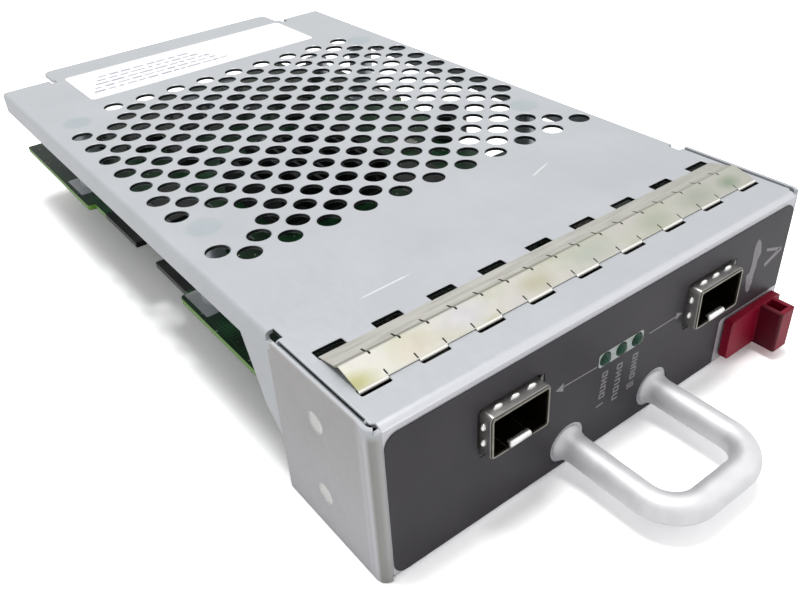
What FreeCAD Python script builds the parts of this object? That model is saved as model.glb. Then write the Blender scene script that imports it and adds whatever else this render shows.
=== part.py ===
import FreeCAD, Part
import math
import os

# Hot-plug fibre channel board on a folded sheet carrier.
# Millimetres. X runs along the front panel, Y goes back from its outer face, Z is up.
# The origin is the middle of the panel's outer face, level with the carrier's underside.

# Carrier sheet
SHEET = 1.0
WIDTH = 124.0
HEIGHT = 39.6
BODY_DEPTH = 205.5
TOP_BEND = 1.8
CORNER_BEND = 2.5
EDGE_BEND = 1.2
WALL_DEPTH = 33.5
WALL_GAP = 0.1
FLANGE_START = 0.7
LIP_DEPTH = 6.4
FLANGE_FOOT = 3.5
FLANGE_FOOT_END = 27.0
FLANGE_KNEE = (41.0, 17.5)
FLANGE_TOP_Y = 47.5
BASE_FLANGE = 13.0
BASE_FLANGE_MARGIN = 5.0
CORNER_RELIEF = 2.4
TAB_LENGTH = 13.0
TAB_SIDE_MARGIN = 18.2
TAB_DROP = 1.0
TAB_SLOPE = 3.0
TAB_RELIEF = (1.6, 3.0)
TAB_CORNER = 3.0

# Perforated field in the top of the carrier
HOLE_D = 5.8
HOLE_PITCH = 10.44
HOLE_SIDES = 8
FIELD_FRONT = 63.6
FIELD_REAR_MARGIN = 37.5
FIELD_SIDE_MARGIN = 7.0
FIELD_SHIFT = 1.1
FIELD_CLEAR = 7.8
FIELD_CLEAR_SHIFT = 2.5

# Posts that carry the board under the top of the carrier
POST_SIDE_MARGIN = 10.8
POST_FRONT_Y = 80.6
POST_REAR_MARGIN = 42.3
POST_HEAD_D = 7.6
POST_D = 8.0
POST_BORE_D = 3.0
POST_BORE_DEPTH = 8.0

# Grounding finger strip over the front edge of the top
STRIP_SIDE_MARGIN = 4.3
STRIP_SHIFT = 0.25
STRIP_PITCH = 13.55
STRIP_TAB = 6.7
STRIP_FRONT_Y = 9.6
STRIP_DEPTH = 13.1
STRIP_RIDGE_Y = 15.9
STRIP_RISE = 1.8
STRIP_STEP = (0.9, 0.55)
STRIP_SHEET = 0.25
STRIP_SLOT_FRONT = 1.0
STRIP_SLOT_REAR = 3.2
STRIP_HOOK = 0.8
STRIP_SLIT = (0.45, 1.7)
STRIP_RIDGE_SLOT = (0.8, 2.5)

# Printed film on the front panel
FILM = 0.25
FILM_SIDE = 2.6
FILM_TOP = 2.2
FILM_BASE = 1.6
FILM_CORNER = 3.0
FILM_NOTCH_WIDTH = 22.5
FILM_NOTCH_TOP = 14.3

# Blank label on the rear of the top
LABEL_SIZE = (82.4, 26.0)
LABEL_BACK_MARGIN = 2.2
LABEL_SHEET = 0.15

# Circuit board and its outline
BOARD_TOP = 20.1
BOARD = 1.6
BOARD_FRONT_GAP = 1.6
BOARD_BACK_GAP = 0.5
BOARD_LEFT_MARGIN = 3.5
BOARD_RIGHT_MARGIN = 3.5
BOARD_NOTCH_Y = (87.0, 149.0)
BOARD_NOTCH_LEFT = 2.1
BOARD_NOTCH_RIGHT = 2.5
BOARD_REAR_HALF = 46.0
BOARD_REAR_REACH = 8.6
LEFT_BAY_Y = (106.0, 119.0)
LEFT_BAY = 3.4
RIGHT_BAY_Y = (92.0, 110.0)
RIGHT_BAY = 7.5

# Pluggable ports
PORT_SPACING = 60.4
PORT_WIDTH = 14.0
PORT_HEIGHT = 9.1
CAGE_SHEET = 0.4
CAGE_PROUD = 3.0
CAGE_LENGTH = 49.0
VENT = 2.4
COLLAR_SHEET = 0.3
COLLAR_FRONT = 2.2
COLLAR_BUMP = 0.8
COLLAR_BUMP_Y = 1.2
COLLAR_BUMP_WIDTH = 2.2
PORT_CLEAR = 0.9
TONGUE_WIDTH = 5.8
TONGUE_LENGTH = 9.0
TONGUE_SLIT = 0.4
TONGUE_LIP = 0.55
HOST_CONNECTOR = (11.6, 10.0, 6.4)

# Status lamps
LAMP_COUNT = 3
LAMP_PITCH = 4.9
LAMP_D = 3.3
LAMP_PROUD = 1.5
LAMP_CENTRE = (1.05, 24.7)
LAMP_HOLDER_DEPTH = 7.0
LAMP_WINDOW = (13.8, 3.5)

# Pull handle
BAR_D = 6.5
HANDLE_SPACING = 27.2
HANDLE_REACH = 28.2
HANDLE_BEND = 8.0
HANDLE_Z = 7.3
FLARE_D = 9.8
FLARE_LENGTH = 2.2
HANDLE_SCREW_D = 4.0
HANDLE_SCREW_HEAD = (7.0, 2.4)
HANDLE_BORE_DEPTH = 9.0

# Release latch, its guide and its spring
LATCH_TRAVEL = 4.0
PLATE_SIDE = (23.1, 3.6)
PLATE_Z = (2.6, 13.6)
PLATE = 2.0
PLATE_GAP = 0.45
THUMB_SIDE = (12.0, 6.4)
THUMB_REACH = 5.7
THUMB_WALL = 1.2
STEM_SIDE = (16.5, 11.5)
STEM_Z = (5.0, 11.0)
SLIDE_SIDE = (22.0, 4.0)
SLIDE_Z = (3.9, 12.1)
SLIDE_Y = (1.35, 9.2)
SLIDE_CLEAR = 0.3
TOOTH_Y = (4.8, 9.0)
TOOTH_Z = (5.4, 10.6)
TOOTH_PROUD = 1.6
GUIDE_SHEET = 0.8
GUIDE_FOOT = 4.4
SPRING_WIDTH = 4.0
SPRING_SHEET = 0.4
SPRING_FOLDS = 6
SPRING_DEPTH = 5.0
SPRING_LENGTH = 13.0

# Rear plug on the underside of the board
PLUG_HALF = 34.0
PLUG_INSET = 10.5
PLUG_PROUD = 9.0
PLUG_COLUMNS = 14
PLUG_ROWS = 4
PLUG_CELL = 2.0
PLUG_CELL_DEPTH = 3.0
GUIDE_SOCKET_WIDTH = 8.0
GUIDE_SOCKET_GAP = 1.0
GUIDE_SOCKET_D = 4.6
GUIDE_SOCKET_BASE = 4.0
GUIDE_SOCKET_FLOOR = 4.0

# Fasteners
RIVET_Y = 19.0
RIVET_Z = (9.5, 28.6)
RIVET_D = 3.2
RIVET_SINK_D = 7.4
RIVET_SINK = 0.7
BOARD_SCREW_HEAD = (6.0, 1.9)
FIT = 0.05

# Parts on the board: a spot is two shares of its width and length, a size is in millimetres,
# and a list holds for each part its spot, then its width, depth and height
HUB_SPOT = (0.449, 0.54)
HUB_CHIP = 35.0
HUB_CHIP_HEIGHT = 2.4
MEMORY_CHIPS = ((0.175, 0.52, 12.0, 20.0, 1.2), (0.175, 0.64, 12.0, 20.0, 1.2))
FLASH_SPOT = (0.705, 0.462)
FLASH_CHIP = (14.0, 18.0, 1.2)
LOGIC_CHIPS = ((0.705, 0.68, 10.0, 14.0, 1.6), (0.55, 0.294, 10.0, 14.0, 1.6))
REGULATORS = ((0.26, 0.867, 10.0, 9.0, 4.4), (0.756, 0.867, 10.0, 9.0, 4.4))
CLOCK_CANS = ((0.517, 0.72, 7.0, 5.0, 1.8), (0.79, 0.56, 7.0, 5.0, 1.8))
CAPACITORS = ((0.124, 0.887, 8.0, 8.0, 10.0), (0.43, 0.887, 8.0, 8.0, 10.0),
              (0.57, 0.887, 8.0, 8.0, 10.0), (0.876, 0.887, 8.0, 8.0, 10.0))
INDUCTORS = ((0.927, 0.546, 10.0, 10.0, 8.8), (0.312, 0.768, 10.0, 10.0, 5.0),
             (0.688, 0.778, 10.0, 10.0, 5.0))
UNDER_CHIPS = ((0.38, 0.462, 20.0, 14.0, 2.2), (0.67, 0.58, 14.0, 14.0, 2.2))
TRANSCEIVER = (14.0, 14.0, 1.4)
TRANSCEIVER_GAP = 9.0
CHIP_BEVEL = 0.3
CAN_FOOT = 1.2
SINK_BASE = 2.0
SINK_HEADROOM = 6.1
SINK_FINS = 9
FIN = 1.0

# Values worked out from the sizes above
HALF = WIDTH / 2
UNDERSIDE = HEIGHT - SHEET
FLANGE_OUT = HALF - SHEET - WALL_GAP
FLANGE_IN = FLANGE_OUT - SHEET
BOARD_UNDER = BOARD_TOP - BOARD
BOARD_FRONT = SHEET + BOARD_FRONT_GAP
BOARD_LEFT = -HALF + BOARD_LEFT_MARGIN
BOARD_RIGHT = HALF - BOARD_RIGHT_MARGIN
BOARD_BACK = BODY_DEPTH - BOARD_BACK_GAP
TAB_HALF = HALF - TAB_SIDE_MARGIN
HOLE_COLUMNS = int((WIDTH - 2 * FIELD_SIDE_MARGIN) * 2 / HOLE_PITCH) + 1
HOLE_ROWS = int((BODY_DEPTH - FIELD_REAR_MARGIN - FIELD_FRONT) / HOLE_PITCH + 0.5) + 1
FIELD_CENTRE_Y = FIELD_FRONT + (HOLE_ROWS - 1) * HOLE_PITCH / 2
STRIP_COUNT = int((WIDTH - 2 * STRIP_SIDE_MARGIN - STRIP_TAB) / STRIP_PITCH) + 1
PLUG_Y = (BODY_DEPTH - PLUG_INSET, BODY_DEPTH + PLUG_PROUD)
PLATE_X = (HALF - PLATE_SIDE[0], HALF - PLATE_SIDE[1])
THUMB_X = (HALF - THUMB_SIDE[0], HALF - THUMB_SIDE[1])
STEM_X = (HALF - STEM_SIDE[0], HALF - STEM_SIDE[1])
SLIDE_X = (HALF - SLIDE_SIDE[0], HALF - SLIDE_SIDE[1])
PORT_XS = (-PORT_SPACING / 2, PORT_SPACING / 2)
PORT_BASE = BOARD_TOP + CAGE_SHEET
HANDLE_XS = (-HANDLE_SPACING / 2, HANDLE_SPACING / 2)


def vec(x, y, z):
    return FreeCAD.Vector(x, y, z)


def box(x0, x1, y0, y1, z0, z1):
    """Block between two corners."""
    return Part.makeBox(x1 - x0, y1 - y0, z1 - z0, vec(x0, y0, z0))


def rod(radius, start, end):
    """Straight round bar from one point to another."""
    along = end.sub(start)
    return Part.makeCylinder(radius, along.Length, start, along)


def turned(side, centre):
    """Solid turned about a line along Y: pairs of distance from the line and place along it."""
    points = [centre.add(vec(r, y, 0)) for r, y in side]
    return Part.Face(Part.makePolygon(points + points[:1])).revolve(centre, vec(0, 1, 0), 360)


def place(a, b, c, plane):
    """Point whose two drawing coordinates lie in the plane and whose third is its height."""
    if plane == "xy":
        return vec(a, b, c)
    if plane == "xz":
        return vec(a, c, b)
    return vec(c, a, b)


def prism(points, c0, c1, plane):
    """Straight-sided outline drawn in a plane and carried from c0 to c1 across it."""
    corners = [place(a, b, c0, plane) for a, b in points]
    wire = Part.makePolygon(corners + corners[:1])
    return Part.Face(wire).extrude(place(0, 0, c1 - c0, plane))


def rounded_prism(a0, a1, b0, b1, r, c0, c1, plane):
    """Rectangle with four round corners, drawn in a plane and carried from c0 to c1."""
    k = r * (1 - math.sqrt(0.5))
    runs = [
        ((a0 + r, b0), (a1 - r, b0), (a1 - k, b0 + k)),
        ((a1, b0 + r), (a1, b1 - r), (a1 - k, b1 - k)),
        ((a1 - r, b1), (a0 + r, b1), (a0 + k, b1 - k)),
        ((a0, b1 - r), (a0, b0 + r), (a0 + k, b0 + k)),
    ]
    edges = []
    for n, (start, end, middle) in enumerate(runs):
        after = runs[(n + 1) % len(runs)][0]
        p, q, m, s = (place(u, v, c0, plane) for u, v in (start, end, middle, after))
        edges.append(Part.LineSegment(p, q).toShape())
        edges.append(Part.Arc(q, m, s).toShape())
    return Part.Face(Part.Wire(edges)).extrude(place(0, 0, c1 - c0, plane))


def fuse(shapes):
    """One clean solid out of pieces that overlap or share a face."""
    return shapes[0].multiFuse(shapes[1:]).removeSplitter()


def write(name, shape):
    shape.exportStep("parts/" + name + ".step")


def mirrored(shape):
    """The same shape on the other side of the middle plane."""
    return shape.mirror(vec(0, 0, 0), vec(1, 0, 0))


def post_places():
    """Where the four posts stand, as pairs of X and Y."""
    xs = (POST_SIDE_MARGIN - HALF, HALF - POST_SIDE_MARGIN)
    ys = (POST_FRONT_Y, BODY_DEPTH - POST_REAR_MARGIN)
    return [(x, y) for x in xs for y in ys]


def field_places():
    """Staggered grid of hole centres: odd columns sit half a pitch out of step."""
    zones = [(x + FIELD_CLEAR_SHIFT, y) for x, y in post_places()]
    kept = []
    for column in range(HOLE_COLUMNS):
        x = FIELD_SHIFT + (column - (HOLE_COLUMNS - 1) / 2) * HOLE_PITCH / 2
        rows = HOLE_ROWS - 1 if column % 2 == 0 else HOLE_ROWS
        for row in range(rows):
            y = FIELD_CENTRE_Y + ((rows - 1) / 2 - row) * HOLE_PITCH
            if all(math.hypot(x - zx, y - zy) > FIELD_CLEAR for zx, zy in zones):
                kept.append((x, y))
    return kept


def field_hole(x, y):
    """Cutter for one perforation, drawn with a few flats and the same area as the round hole."""
    turn = 2 * math.pi / HOLE_SIDES
    r = HOLE_D / 2 * math.sqrt(turn / math.sin(turn))
    points = [(x + r * math.cos((n + 0.5) * turn), y + r * math.sin((n + 0.5) * turn))
              for n in range(HOLE_SIDES)]
    return prism(points, UNDERSIDE - SHEET / 2, HEIGHT + SHEET / 2, "xy")


def strip_places():
    """Middle of each finger tab along the strip."""
    return [STRIP_SHIFT + (n - (STRIP_COUNT - 1) / 2) * STRIP_PITCH for n in range(STRIP_COUNT)]


def top_and_flanges():
    """Top of the carrier with both sides folded down, trimmed to lips behind the front box."""
    y0 = CORNER_BEND + FLANGE_START
    outer = rounded_prism(-FLANGE_OUT, FLANGE_OUT, -HEIGHT, HEIGHT, EDGE_BEND, y0, BODY_DEPTH, "xz")
    inner = rounded_prism(-FLANGE_IN, FLANGE_IN, -2 * HEIGHT, UNDERSIDE, EDGE_BEND - SHEET,
                          y0 - 1, BODY_DEPTH + 1, "xz")
    channel = outer.cut(inner)
    below = -2 * HEIGHT
    lip = HEIGHT - LIP_DEPTH
    trim = [(y0 - 1, below), (y0 - 1, FLANGE_FOOT), (FLANGE_FOOT_END, FLANGE_FOOT), FLANGE_KNEE,
            (FLANGE_TOP_Y, lip), (BODY_DEPTH + 1, lip), (BODY_DEPTH + 1, below)]
    return channel.cut(prism(trim, -WIDTH, WIDTH, "yz"))


def rear_tab():
    """Tongue at the back edge, stepped down by a short slope, with two round corners."""
    y1 = BODY_DEPTH + TAB_SLOPE
    y2 = BODY_DEPTH + TAB_LENGTH
    low = UNDERSIDE - TAB_DROP
    side = [(BODY_DEPTH - 1, UNDERSIDE), (BODY_DEPTH - 1, HEIGHT), (BODY_DEPTH, HEIGHT),
            (y1, HEIGHT - TAB_DROP), (y2, HEIGHT - TAB_DROP), (y2, low), (y1, low),
            (BODY_DEPTH, UNDERSIDE)]
    tongue = prism(side, -TAB_HALF, TAB_HALF, "yz")
    outline = rounded_prism(-TAB_HALF, TAB_HALF, BODY_DEPTH - 2 * TAB_CORNER, y2, TAB_CORNER,
                            low - 1, HEIGHT + 1, "xy")
    return tongue.common(outline)


def front_box():
    """Front panel with its sides folded back, as a U seen from above."""
    far = WALL_DEPTH + 2 * CORNER_BEND
    outer = rounded_prism(-HALF, HALF, 0, far, CORNER_BEND, 0, HEIGHT, "xy")
    inner = rounded_prism(-HALF + SHEET, HALF - SHEET, SHEET, far + SHEET, CORNER_BEND - SHEET,
                          -1, HEIGHT + 1, "xy")
    walls = outer.cut(inner).cut(box(-WIDTH, WIDTH, WALL_DEPTH, far + WIDTH, -1, HEIGHT + 1))
    bend_half = HALF - CORNER_BEND
    walls = walls.cut(box(-bend_half, bend_half, -1, SHEET + 1, HEIGHT - TOP_BEND, HEIGHT + 1))
    walls = walls.cut(box(-bend_half, bend_half, -1, SHEET + 1, -1, TOP_BEND))
    for side in (-1, 1):
        x0, x1 = sorted((side * bend_half, side * (HALF + 1)))
        walls = walls.cut(box(x0, x1, -1, CORNER_RELIEF, HEIGHT - CORNER_RELIEF, HEIGHT + 1))
    return walls


def bend_strip(z_outer, z_far, x_half, y_end):
    """Sheet that turns from the panel into a level flange at z_outer."""
    low, high = sorted((z_outer, z_far))
    outer = rounded_prism(0, y_end + 2 * TOP_BEND, low, high, TOP_BEND, -x_half, x_half, "yz")
    step = SHEET if z_outer < z_far else -SHEET
    in_low, in_high = sorted((z_outer + step, z_far + step))
    inner = rounded_prism(SHEET, y_end + 3 * TOP_BEND, in_low, in_high, TOP_BEND - SHEET,
                          -x_half - 1, x_half + 1, "yz")
    keep_low, keep_high = sorted((z_outer, z_outer + TOP_BEND * (1 if step > 0 else -1)))
    return outer.cut(inner).common(box(-x_half, x_half, 0, y_end, keep_low, keep_high))


def port_window(x, grow):
    """Outline of a port with its collar, enlarged all round by a clearance."""
    half = PORT_WIDTH / 2 + CAGE_SHEET + COLLAR_SHEET + grow
    low = BOARD_TOP - COLLAR_SHEET - grow
    high = PORT_BASE + PORT_HEIGHT + CAGE_SHEET + COLLAR_SHEET + grow
    return rounded_prism(x - half, x + half, low, high, 1.0, -FILM - 1, SHEET + 1, "xz")


def lamp_window(grow):
    x, z = LAMP_CENTRE
    a, b = LAMP_WINDOW[0] / 2 + grow, LAMP_WINDOW[1] / 2 + grow
    return rounded_prism(x - a, x + a, z - b, z + b, b * 0.45, -FILM - 1, SHEET + 1, "xz")


def stem_slot(grow):
    """Slot that the latch's stem slides in, as long as the stem and its travel."""
    return box(STEM_X[0] - LATCH_TRAVEL - SLIDE_CLEAR - grow, STEM_X[1] + SLIDE_CLEAR + grow,
               -FILM - 1, SHEET + 1, STEM_Z[0] - SLIDE_CLEAR - grow, STEM_Z[1] + SLIDE_CLEAR + grow)


def panel_cutters():
    """Everything cut through the front panel, shared with the film on it."""
    cutters = [port_window(x, PORT_CLEAR) for x in PORT_XS]
    cutters.append(lamp_window(FIT))
    return cutters


def strip_slots():
    """Rows of slots in the top that the strip's tabs hook into, front and back."""
    back = STRIP_FRONT_Y + STRIP_DEPTH
    slots = []
    for x in strip_places():
        a, b = x - STRIP_TAB / 2, x + STRIP_TAB / 2
        slots.append(box(a, b, STRIP_FRONT_Y - STRIP_SLOT_FRONT, STRIP_FRONT_Y + STRIP_SLOT_FRONT,
                         UNDERSIDE - 1, HEIGHT + 1))
        slots.append(box(a, b, back - STRIP_SLOT_FRONT, back + STRIP_SLOT_REAR - STRIP_SLOT_FRONT,
                         UNDERSIDE - 1, HEIGHT + 1))
    return slots


def rivet_seats():
    """Countersunk holes through the side walls and plain ones through the flanges."""
    seats = []
    for side in (-1, 1):
        for z in RIVET_Z:
            face = vec(side * HALF, RIVET_Y, z)
            inward = vec(-side, 0, 0)
            seats.append(Part.makeCone(RIVET_SINK_D / 2, RIVET_D / 2, RIVET_SINK, face, inward))
            seats.append(Part.makeCylinder(RIVET_D / 2, 4 * SHEET, face, inward))
    return seats


def carrier_housing():
    """The whole folded and perforated sheet as one solid."""
    bend_half = HALF - CORNER_BEND
    top_start = box(-bend_half, bend_half, TOP_BEND, 2 * CORNER_BEND, UNDERSIDE, HEIGHT)
    body = fuse([
        top_and_flanges(),
        top_start,
        rear_tab(),
        front_box(),
        bend_strip(HEIGHT, 0, bend_half, TOP_BEND),
        bend_strip(0, HEIGHT, bend_half, TOP_BEND),
        box(-bend_half + BASE_FLANGE_MARGIN, bend_half - BASE_FLANGE_MARGIN, TOP_BEND,
            BASE_FLANGE, 0, SHEET),
    ])
    cutters = panel_cutters() + strip_slots() + rivet_seats() + [stem_slot(0)]
    for x, y in field_places():
        cutters.append(field_hole(x, y))
    for x, y in post_places():
        cutters.append(Part.makeCylinder(POST_HEAD_D / 2 + FIT, 2 * SHEET,
                                         vec(x, y, UNDERSIDE - SHEET / 2)))
    for x in HANDLE_XS:
        cutters.append(rod(HANDLE_SCREW_D / 2 + FIT, vec(x, -1, HANDLE_Z), vec(x, 2, HANDLE_Z)))
    notch = CORNER_RELIEF / 2
    for side in (-1, 1):
        x0, x1 = sorted((side * (FLANGE_IN - 1), side * (HALF + 1)))
        cutters.append(box(x0, x1, WALL_DEPTH - notch, WALL_DEPTH + 2 * notch,
                           HEIGHT - EDGE_BEND - 0.8, HEIGHT + 1))
        r0, r1 = sorted((side * TAB_HALF, side * (TAB_HALF + TAB_RELIEF[0])))
        cutters.append(box(r0, r1, BODY_DEPTH - TAB_RELIEF[1], BODY_DEPTH + 1, 0, HEIGHT + 1))
    clear = SLIDE_CLEAR
    cutters.append(box(FLANGE_IN - 1, HALF + 1, TOOTH_Y[0] - clear, TOOTH_Y[1] + clear,
                       TOOTH_Z[0] - clear, TOOTH_Z[1] + clear))
    return body.cut(cutters)


def finger_strip():
    """Spring strip bent like a low tent, with slits, slots on its ridge and hooked tabs."""
    back = STRIP_FRONT_Y + STRIP_DEPTH
    base = HEIGHT
    half = strip_places()[-1] - STRIP_SHIFT + STRIP_TAB / 2
    step_run, step_drop = STRIP_STEP
    under = [(STRIP_FRONT_Y, base), (STRIP_RIDGE_Y, base + STRIP_RISE),
             (STRIP_RIDGE_Y + step_run, base + STRIP_RISE - step_drop), (back, base)]
    over = [(y, z + STRIP_SHEET) for y, z in reversed(under)]
    parts = [prism(under + over, STRIP_SHIFT - half, STRIP_SHIFT + half, "yz")]
    hook = STRIP_SHEET
    toe = UNDERSIDE - FIT
    for x in strip_places():
        a, b = x - STRIP_TAB / 2 + FIT, x + STRIP_TAB / 2 - FIT
        for edge, out, slot in ((STRIP_FRONT_Y, -1, STRIP_SLOT_FRONT),
                                (back, 1, STRIP_SLOT_REAR - STRIP_SLOT_FRONT)):
            y0, y1 = sorted((edge, edge + out * hook))
            parts.append(box(a, b, y0, y1, toe - hook, base + hook))
            y0, y1 = sorted((edge, edge + out * (slot + STRIP_HOOK)))
            parts.append(box(a, b, y0, y1, toe - hook, toe))
    cutters = []
    low, high = base - SHEET, base + 2 * STRIP_RISE
    for x in strip_places():
        for edge in (x - STRIP_TAB / 2, x + STRIP_TAB / 2):
            if abs(edge - STRIP_SHIFT) > half - STRIP_SLIT[0]:
                continue
            slit, slot = STRIP_SLIT[0] / 2, STRIP_RIDGE_SLOT[0] / 2
            cutters.append(box(edge - slit, edge + slit, STRIP_FRONT_Y - STRIP_SHEET,
                               STRIP_FRONT_Y + STRIP_SLIT[1], base, high))
            cutters.append(box(edge - slot, edge + slot, STRIP_RIDGE_Y - STRIP_SHEET,
                               STRIP_RIDGE_Y + STRIP_RIDGE_SLOT[1], low, high))
    return fuse(parts).cut(cutters)


def front_overlay():
    """Dark film on the panel, cut away at the lower right where the latch works."""
    right = HALF - FILM_SIDE
    film = rounded_prism(-right, right, FILM_BASE, HEIGHT - FILM_TOP, FILM_CORNER, -FILM, 0, "xz")
    cutters = panel_cutters()
    cutters.append(rounded_prism(right - FILM_NOTCH_WIDTH, right + WIDTH, -HEIGHT, FILM_NOTCH_TOP,
                                 1.0, -FILM - 1, 1, "xz"))
    for x in HANDLE_XS:
        cutters.append(rod(FLARE_D / 2 + FIT, vec(x, -2, HANDLE_Z), vec(x, 2, HANDLE_Z)))
    return film.cut(cutters)


def product_label():
    """Blank white label behind the perforated field."""
    y1 = BODY_DEPTH - LABEL_BACK_MARGIN
    half = LABEL_SIZE[0] / 2
    return rounded_prism(-half, half, y1 - LABEL_SIZE[1], y1, 1.5, HEIGHT, HEIGHT + LABEL_SHEET, "xy")


def port_cage(x):
    """Thin folded cage, open at the front, with a tongue in its floor and an open floor at the back."""
    half = PORT_WIDTH / 2
    top = PORT_BASE + PORT_HEIGHT
    y0, y1 = -CAGE_PROUD, CAGE_LENGTH - CAGE_PROUD
    t = CAGE_SHEET
    shell = rounded_prism(x - half - t, x + half + t, BOARD_TOP, top + t, 0.8, y0, y1, "xz")
    inside = rounded_prism(x - half, x + half, PORT_BASE, top, 0.5, y0 - 1, y1 - t, "xz")
    shell = shell.cut(inside)
    seat = HOST_CONNECTOR[1] + 2 * t
    shell = shell.cut(box(x - half + t, x + half - t, y1 - t - seat, y1 - t, BOARD_TOP - 1, PORT_BASE))
    for n in range(4):
        y = y0 + 3 * VENT * (n + 1.5)
        for side in (-1, 1):
            u = x + side * PORT_WIDTH / 4
            shell = shell.cut(box(u - VENT / 2, u + VENT / 2, y, y + VENT, top - 0.5, top + 1))
    tongue, gap, lip = TONGUE_WIDTH / 2, TONGUE_SLIT, TONGUE_LIP
    slits = []
    for a in (x - tongue - gap, x + tongue):
        slits.append(box(a, a + gap, y0 - 1, y0 + TONGUE_LENGTH, BOARD_TOP - 1, PORT_BASE + t))
    lead_in = rod(lip, vec(x - tongue, y0 + lip, BOARD_TOP + lip),
                  vec(x + tongue, y0 + lip, BOARD_TOP + lip))
    return fuse([shell.cut(slits), lead_in])


def collar_bump(along, level, out, plane):
    """Pressed bump with sloped ends: a ridge across one finger of the collar."""
    y = -COLLAR_FRONT + COLLAR_BUMP_Y
    foot, crest = COLLAR_BUMP, COLLAR_BUMP * 0.45
    rise = level + out * COLLAR_BUMP
    sunk = level - out * COLLAR_SHEET / 2
    run = COLLAR_BUMP_WIDTH / 2
    side = [(y - foot, sunk), (y - foot, level), (y - crest, rise), (y + crest, rise),
            (y + foot, level), (y + foot, sunk)]
    if plane == "xy":
        side = [(b, a) for a, b in side]
    return prism(side, along - run, along + run, plane)


def cage_collar(x):
    """Spring collar round the cage's front, with pressed bumps that meet the panel."""
    c = COLLAR_SHEET
    half = PORT_WIDTH / 2 + CAGE_SHEET
    low = BOARD_TOP
    high = PORT_BASE + PORT_HEIGHT + CAGE_SHEET
    y0, y1 = -COLLAR_FRONT, BOARD_FRONT - FIT
    ring = rounded_prism(x - half - c, x + half + c, low - c, high + c, 1.0, y0, y1, "xz")
    ridges = []
    for n in (-1, 0, 1):
        ridges.append(collar_bump(x + n * half * 0.62, high + c, 1, "yz"))
    for side in (-1, 1):
        for n in (0.3, 0.7):
            ridges.append(collar_bump(low + n * (high - low), x + side * (half + c), side, "xy"))
        ridges.append(collar_bump(x + side * half * 0.7, low - c, -1, "yz"))
    hollow = rounded_prism(x - half - FIT, x + half + FIT, low - FIT, high + FIT, 0.8,
                           y0 - 1, y1 + 1, "xz")
    return fuse([ring] + ridges).cut(hollow)


def host_connector(x):
    """Edge connector at the back of a port, standing on the board."""
    w, depth, high = HOST_CONNECTOR
    y1 = CAGE_LENGTH - CAGE_PROUD - 2 * CAGE_SHEET
    body = box(x - w / 2, x + w / 2, y1 - depth, y1, BOARD_TOP, BOARD_TOP + high)
    mouth = box(x - w / 2 + 1, x + w / 2 - 1, y1 - depth - 1, y1 - depth / 3,
                BOARD_TOP + high * 0.42, BOARD_TOP + high * 0.66)
    return body.cut(mouth)


def lamp_places():
    return [(LAMP_CENTRE[0] + (n - (LAMP_COUNT - 1) / 2) * LAMP_PITCH, LAMP_CENTRE[1])
            for n in range(LAMP_COUNT)]


def lamp_holder():
    """Pale block on the board that holds the lamps and fills the window in the panel."""
    x, z = LAMP_CENTRE
    a, b = LAMP_WINDOW[0] / 2, LAMP_WINDOW[1] / 2
    y0 = SHEET + FIT
    nose = rounded_prism(x - a, x + a, z - b, z + b, b * 0.45, -FILM, y0, "xz")
    block = box(x - a - 1.5, x + a + 1.5, y0, y0 + LAMP_HOLDER_DEPTH, z - b - 1.0, z + b + 1.0)
    foot = box(x - a - 1.5, x + a + 1.5, BOARD_FRONT, y0 + LAMP_HOLDER_DEPTH, BOARD_TOP, z)
    holes = [rod(LAMP_D / 2 + FIT, vec(u, -2, v), vec(u, y0 + LAMP_HOLDER_DEPTH - 1, v))
             for u, v in lamp_places()]
    return fuse([nose, block, foot]).cut(holes)


def status_lamp(x, z):
    """Round lens turned about its own axis, with a bevelled and domed tip."""
    r = LAMP_D / 2
    tip = FILM + LAMP_PROUD
    side = [(0, -tip), (r * 0.55, -tip + r * 0.14), (r * 0.9, -tip + r * 0.48), (r, -tip + r * 0.9),
            (r, SHEET + LAMP_HOLDER_DEPTH - 2), (0, SHEET + LAMP_HOLDER_DEPTH - 2)]
    return turned(side, vec(x, 0, z))


def pull_handle():
    """Round bar bent to a U, with a trumpet-shaped foot at each end."""
    x0, x1 = HANDLE_XS
    bend, reach, z, r = HANDLE_BEND, HANDLE_REACH, HANDLE_Z, BAR_D / 2
    shapes = [rod(r, vec(x0 + bend, -reach, z), vec(x1 - bend, -reach, z))]
    for x, inward in ((x0, 1), (x1, -1)):
        shapes.append(rod(r, vec(x, 0, z), vec(x, bend - reach, z)))
        ring = Part.Face(Part.Wire([Part.Circle(vec(x, bend - reach, z), vec(0, 1, 0), r).toShape()]))
        centre = vec(x + inward * bend, bend - reach, z)
        shapes.append(ring.revolve(centre, vec(0, 0, inward), 90))
        shapes.append(flare(x))
    holes = [rod(HANDLE_SCREW_D / 2, vec(x, 1, z), vec(x, -HANDLE_BORE_DEPTH, z)) for x in HANDLE_XS]
    return fuse(shapes).cut(holes)


def flare(x):
    """Foot of the bar: a short rim that narrows to the bar in two slopes."""
    bar, foot, long = BAR_D / 2 - FIT, FLARE_D / 2, FLARE_LENGTH
    rim = 0.2 * long
    waist = bar + 0.3 * (foot - bar)
    side = [(0, 0), (foot, 0), (foot, -rim), (waist, -rim - 0.3 * long), (bar, -long), (0, -long)]
    return turned(side, vec(x, 0, HANDLE_Z))


def handle_screws():
    """Two pan-head screws from inside the panel into the handle's feet."""
    head_d, head = HANDLE_SCREW_HEAD
    screws = []
    for x in HANDLE_XS:
        shank = rod(HANDLE_SCREW_D / 2 - FIT, vec(x, -HANDLE_BORE_DEPTH + 1, HANDLE_Z),
                    vec(x, SHEET, HANDLE_Z))
        cap = rod(head_d / 2, vec(x, SHEET, HANDLE_Z), vec(x, SHEET + head, HANDLE_Z))
        screws.append(fuse([shank, cap]))
    return Part.makeCompound(screws)


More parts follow.
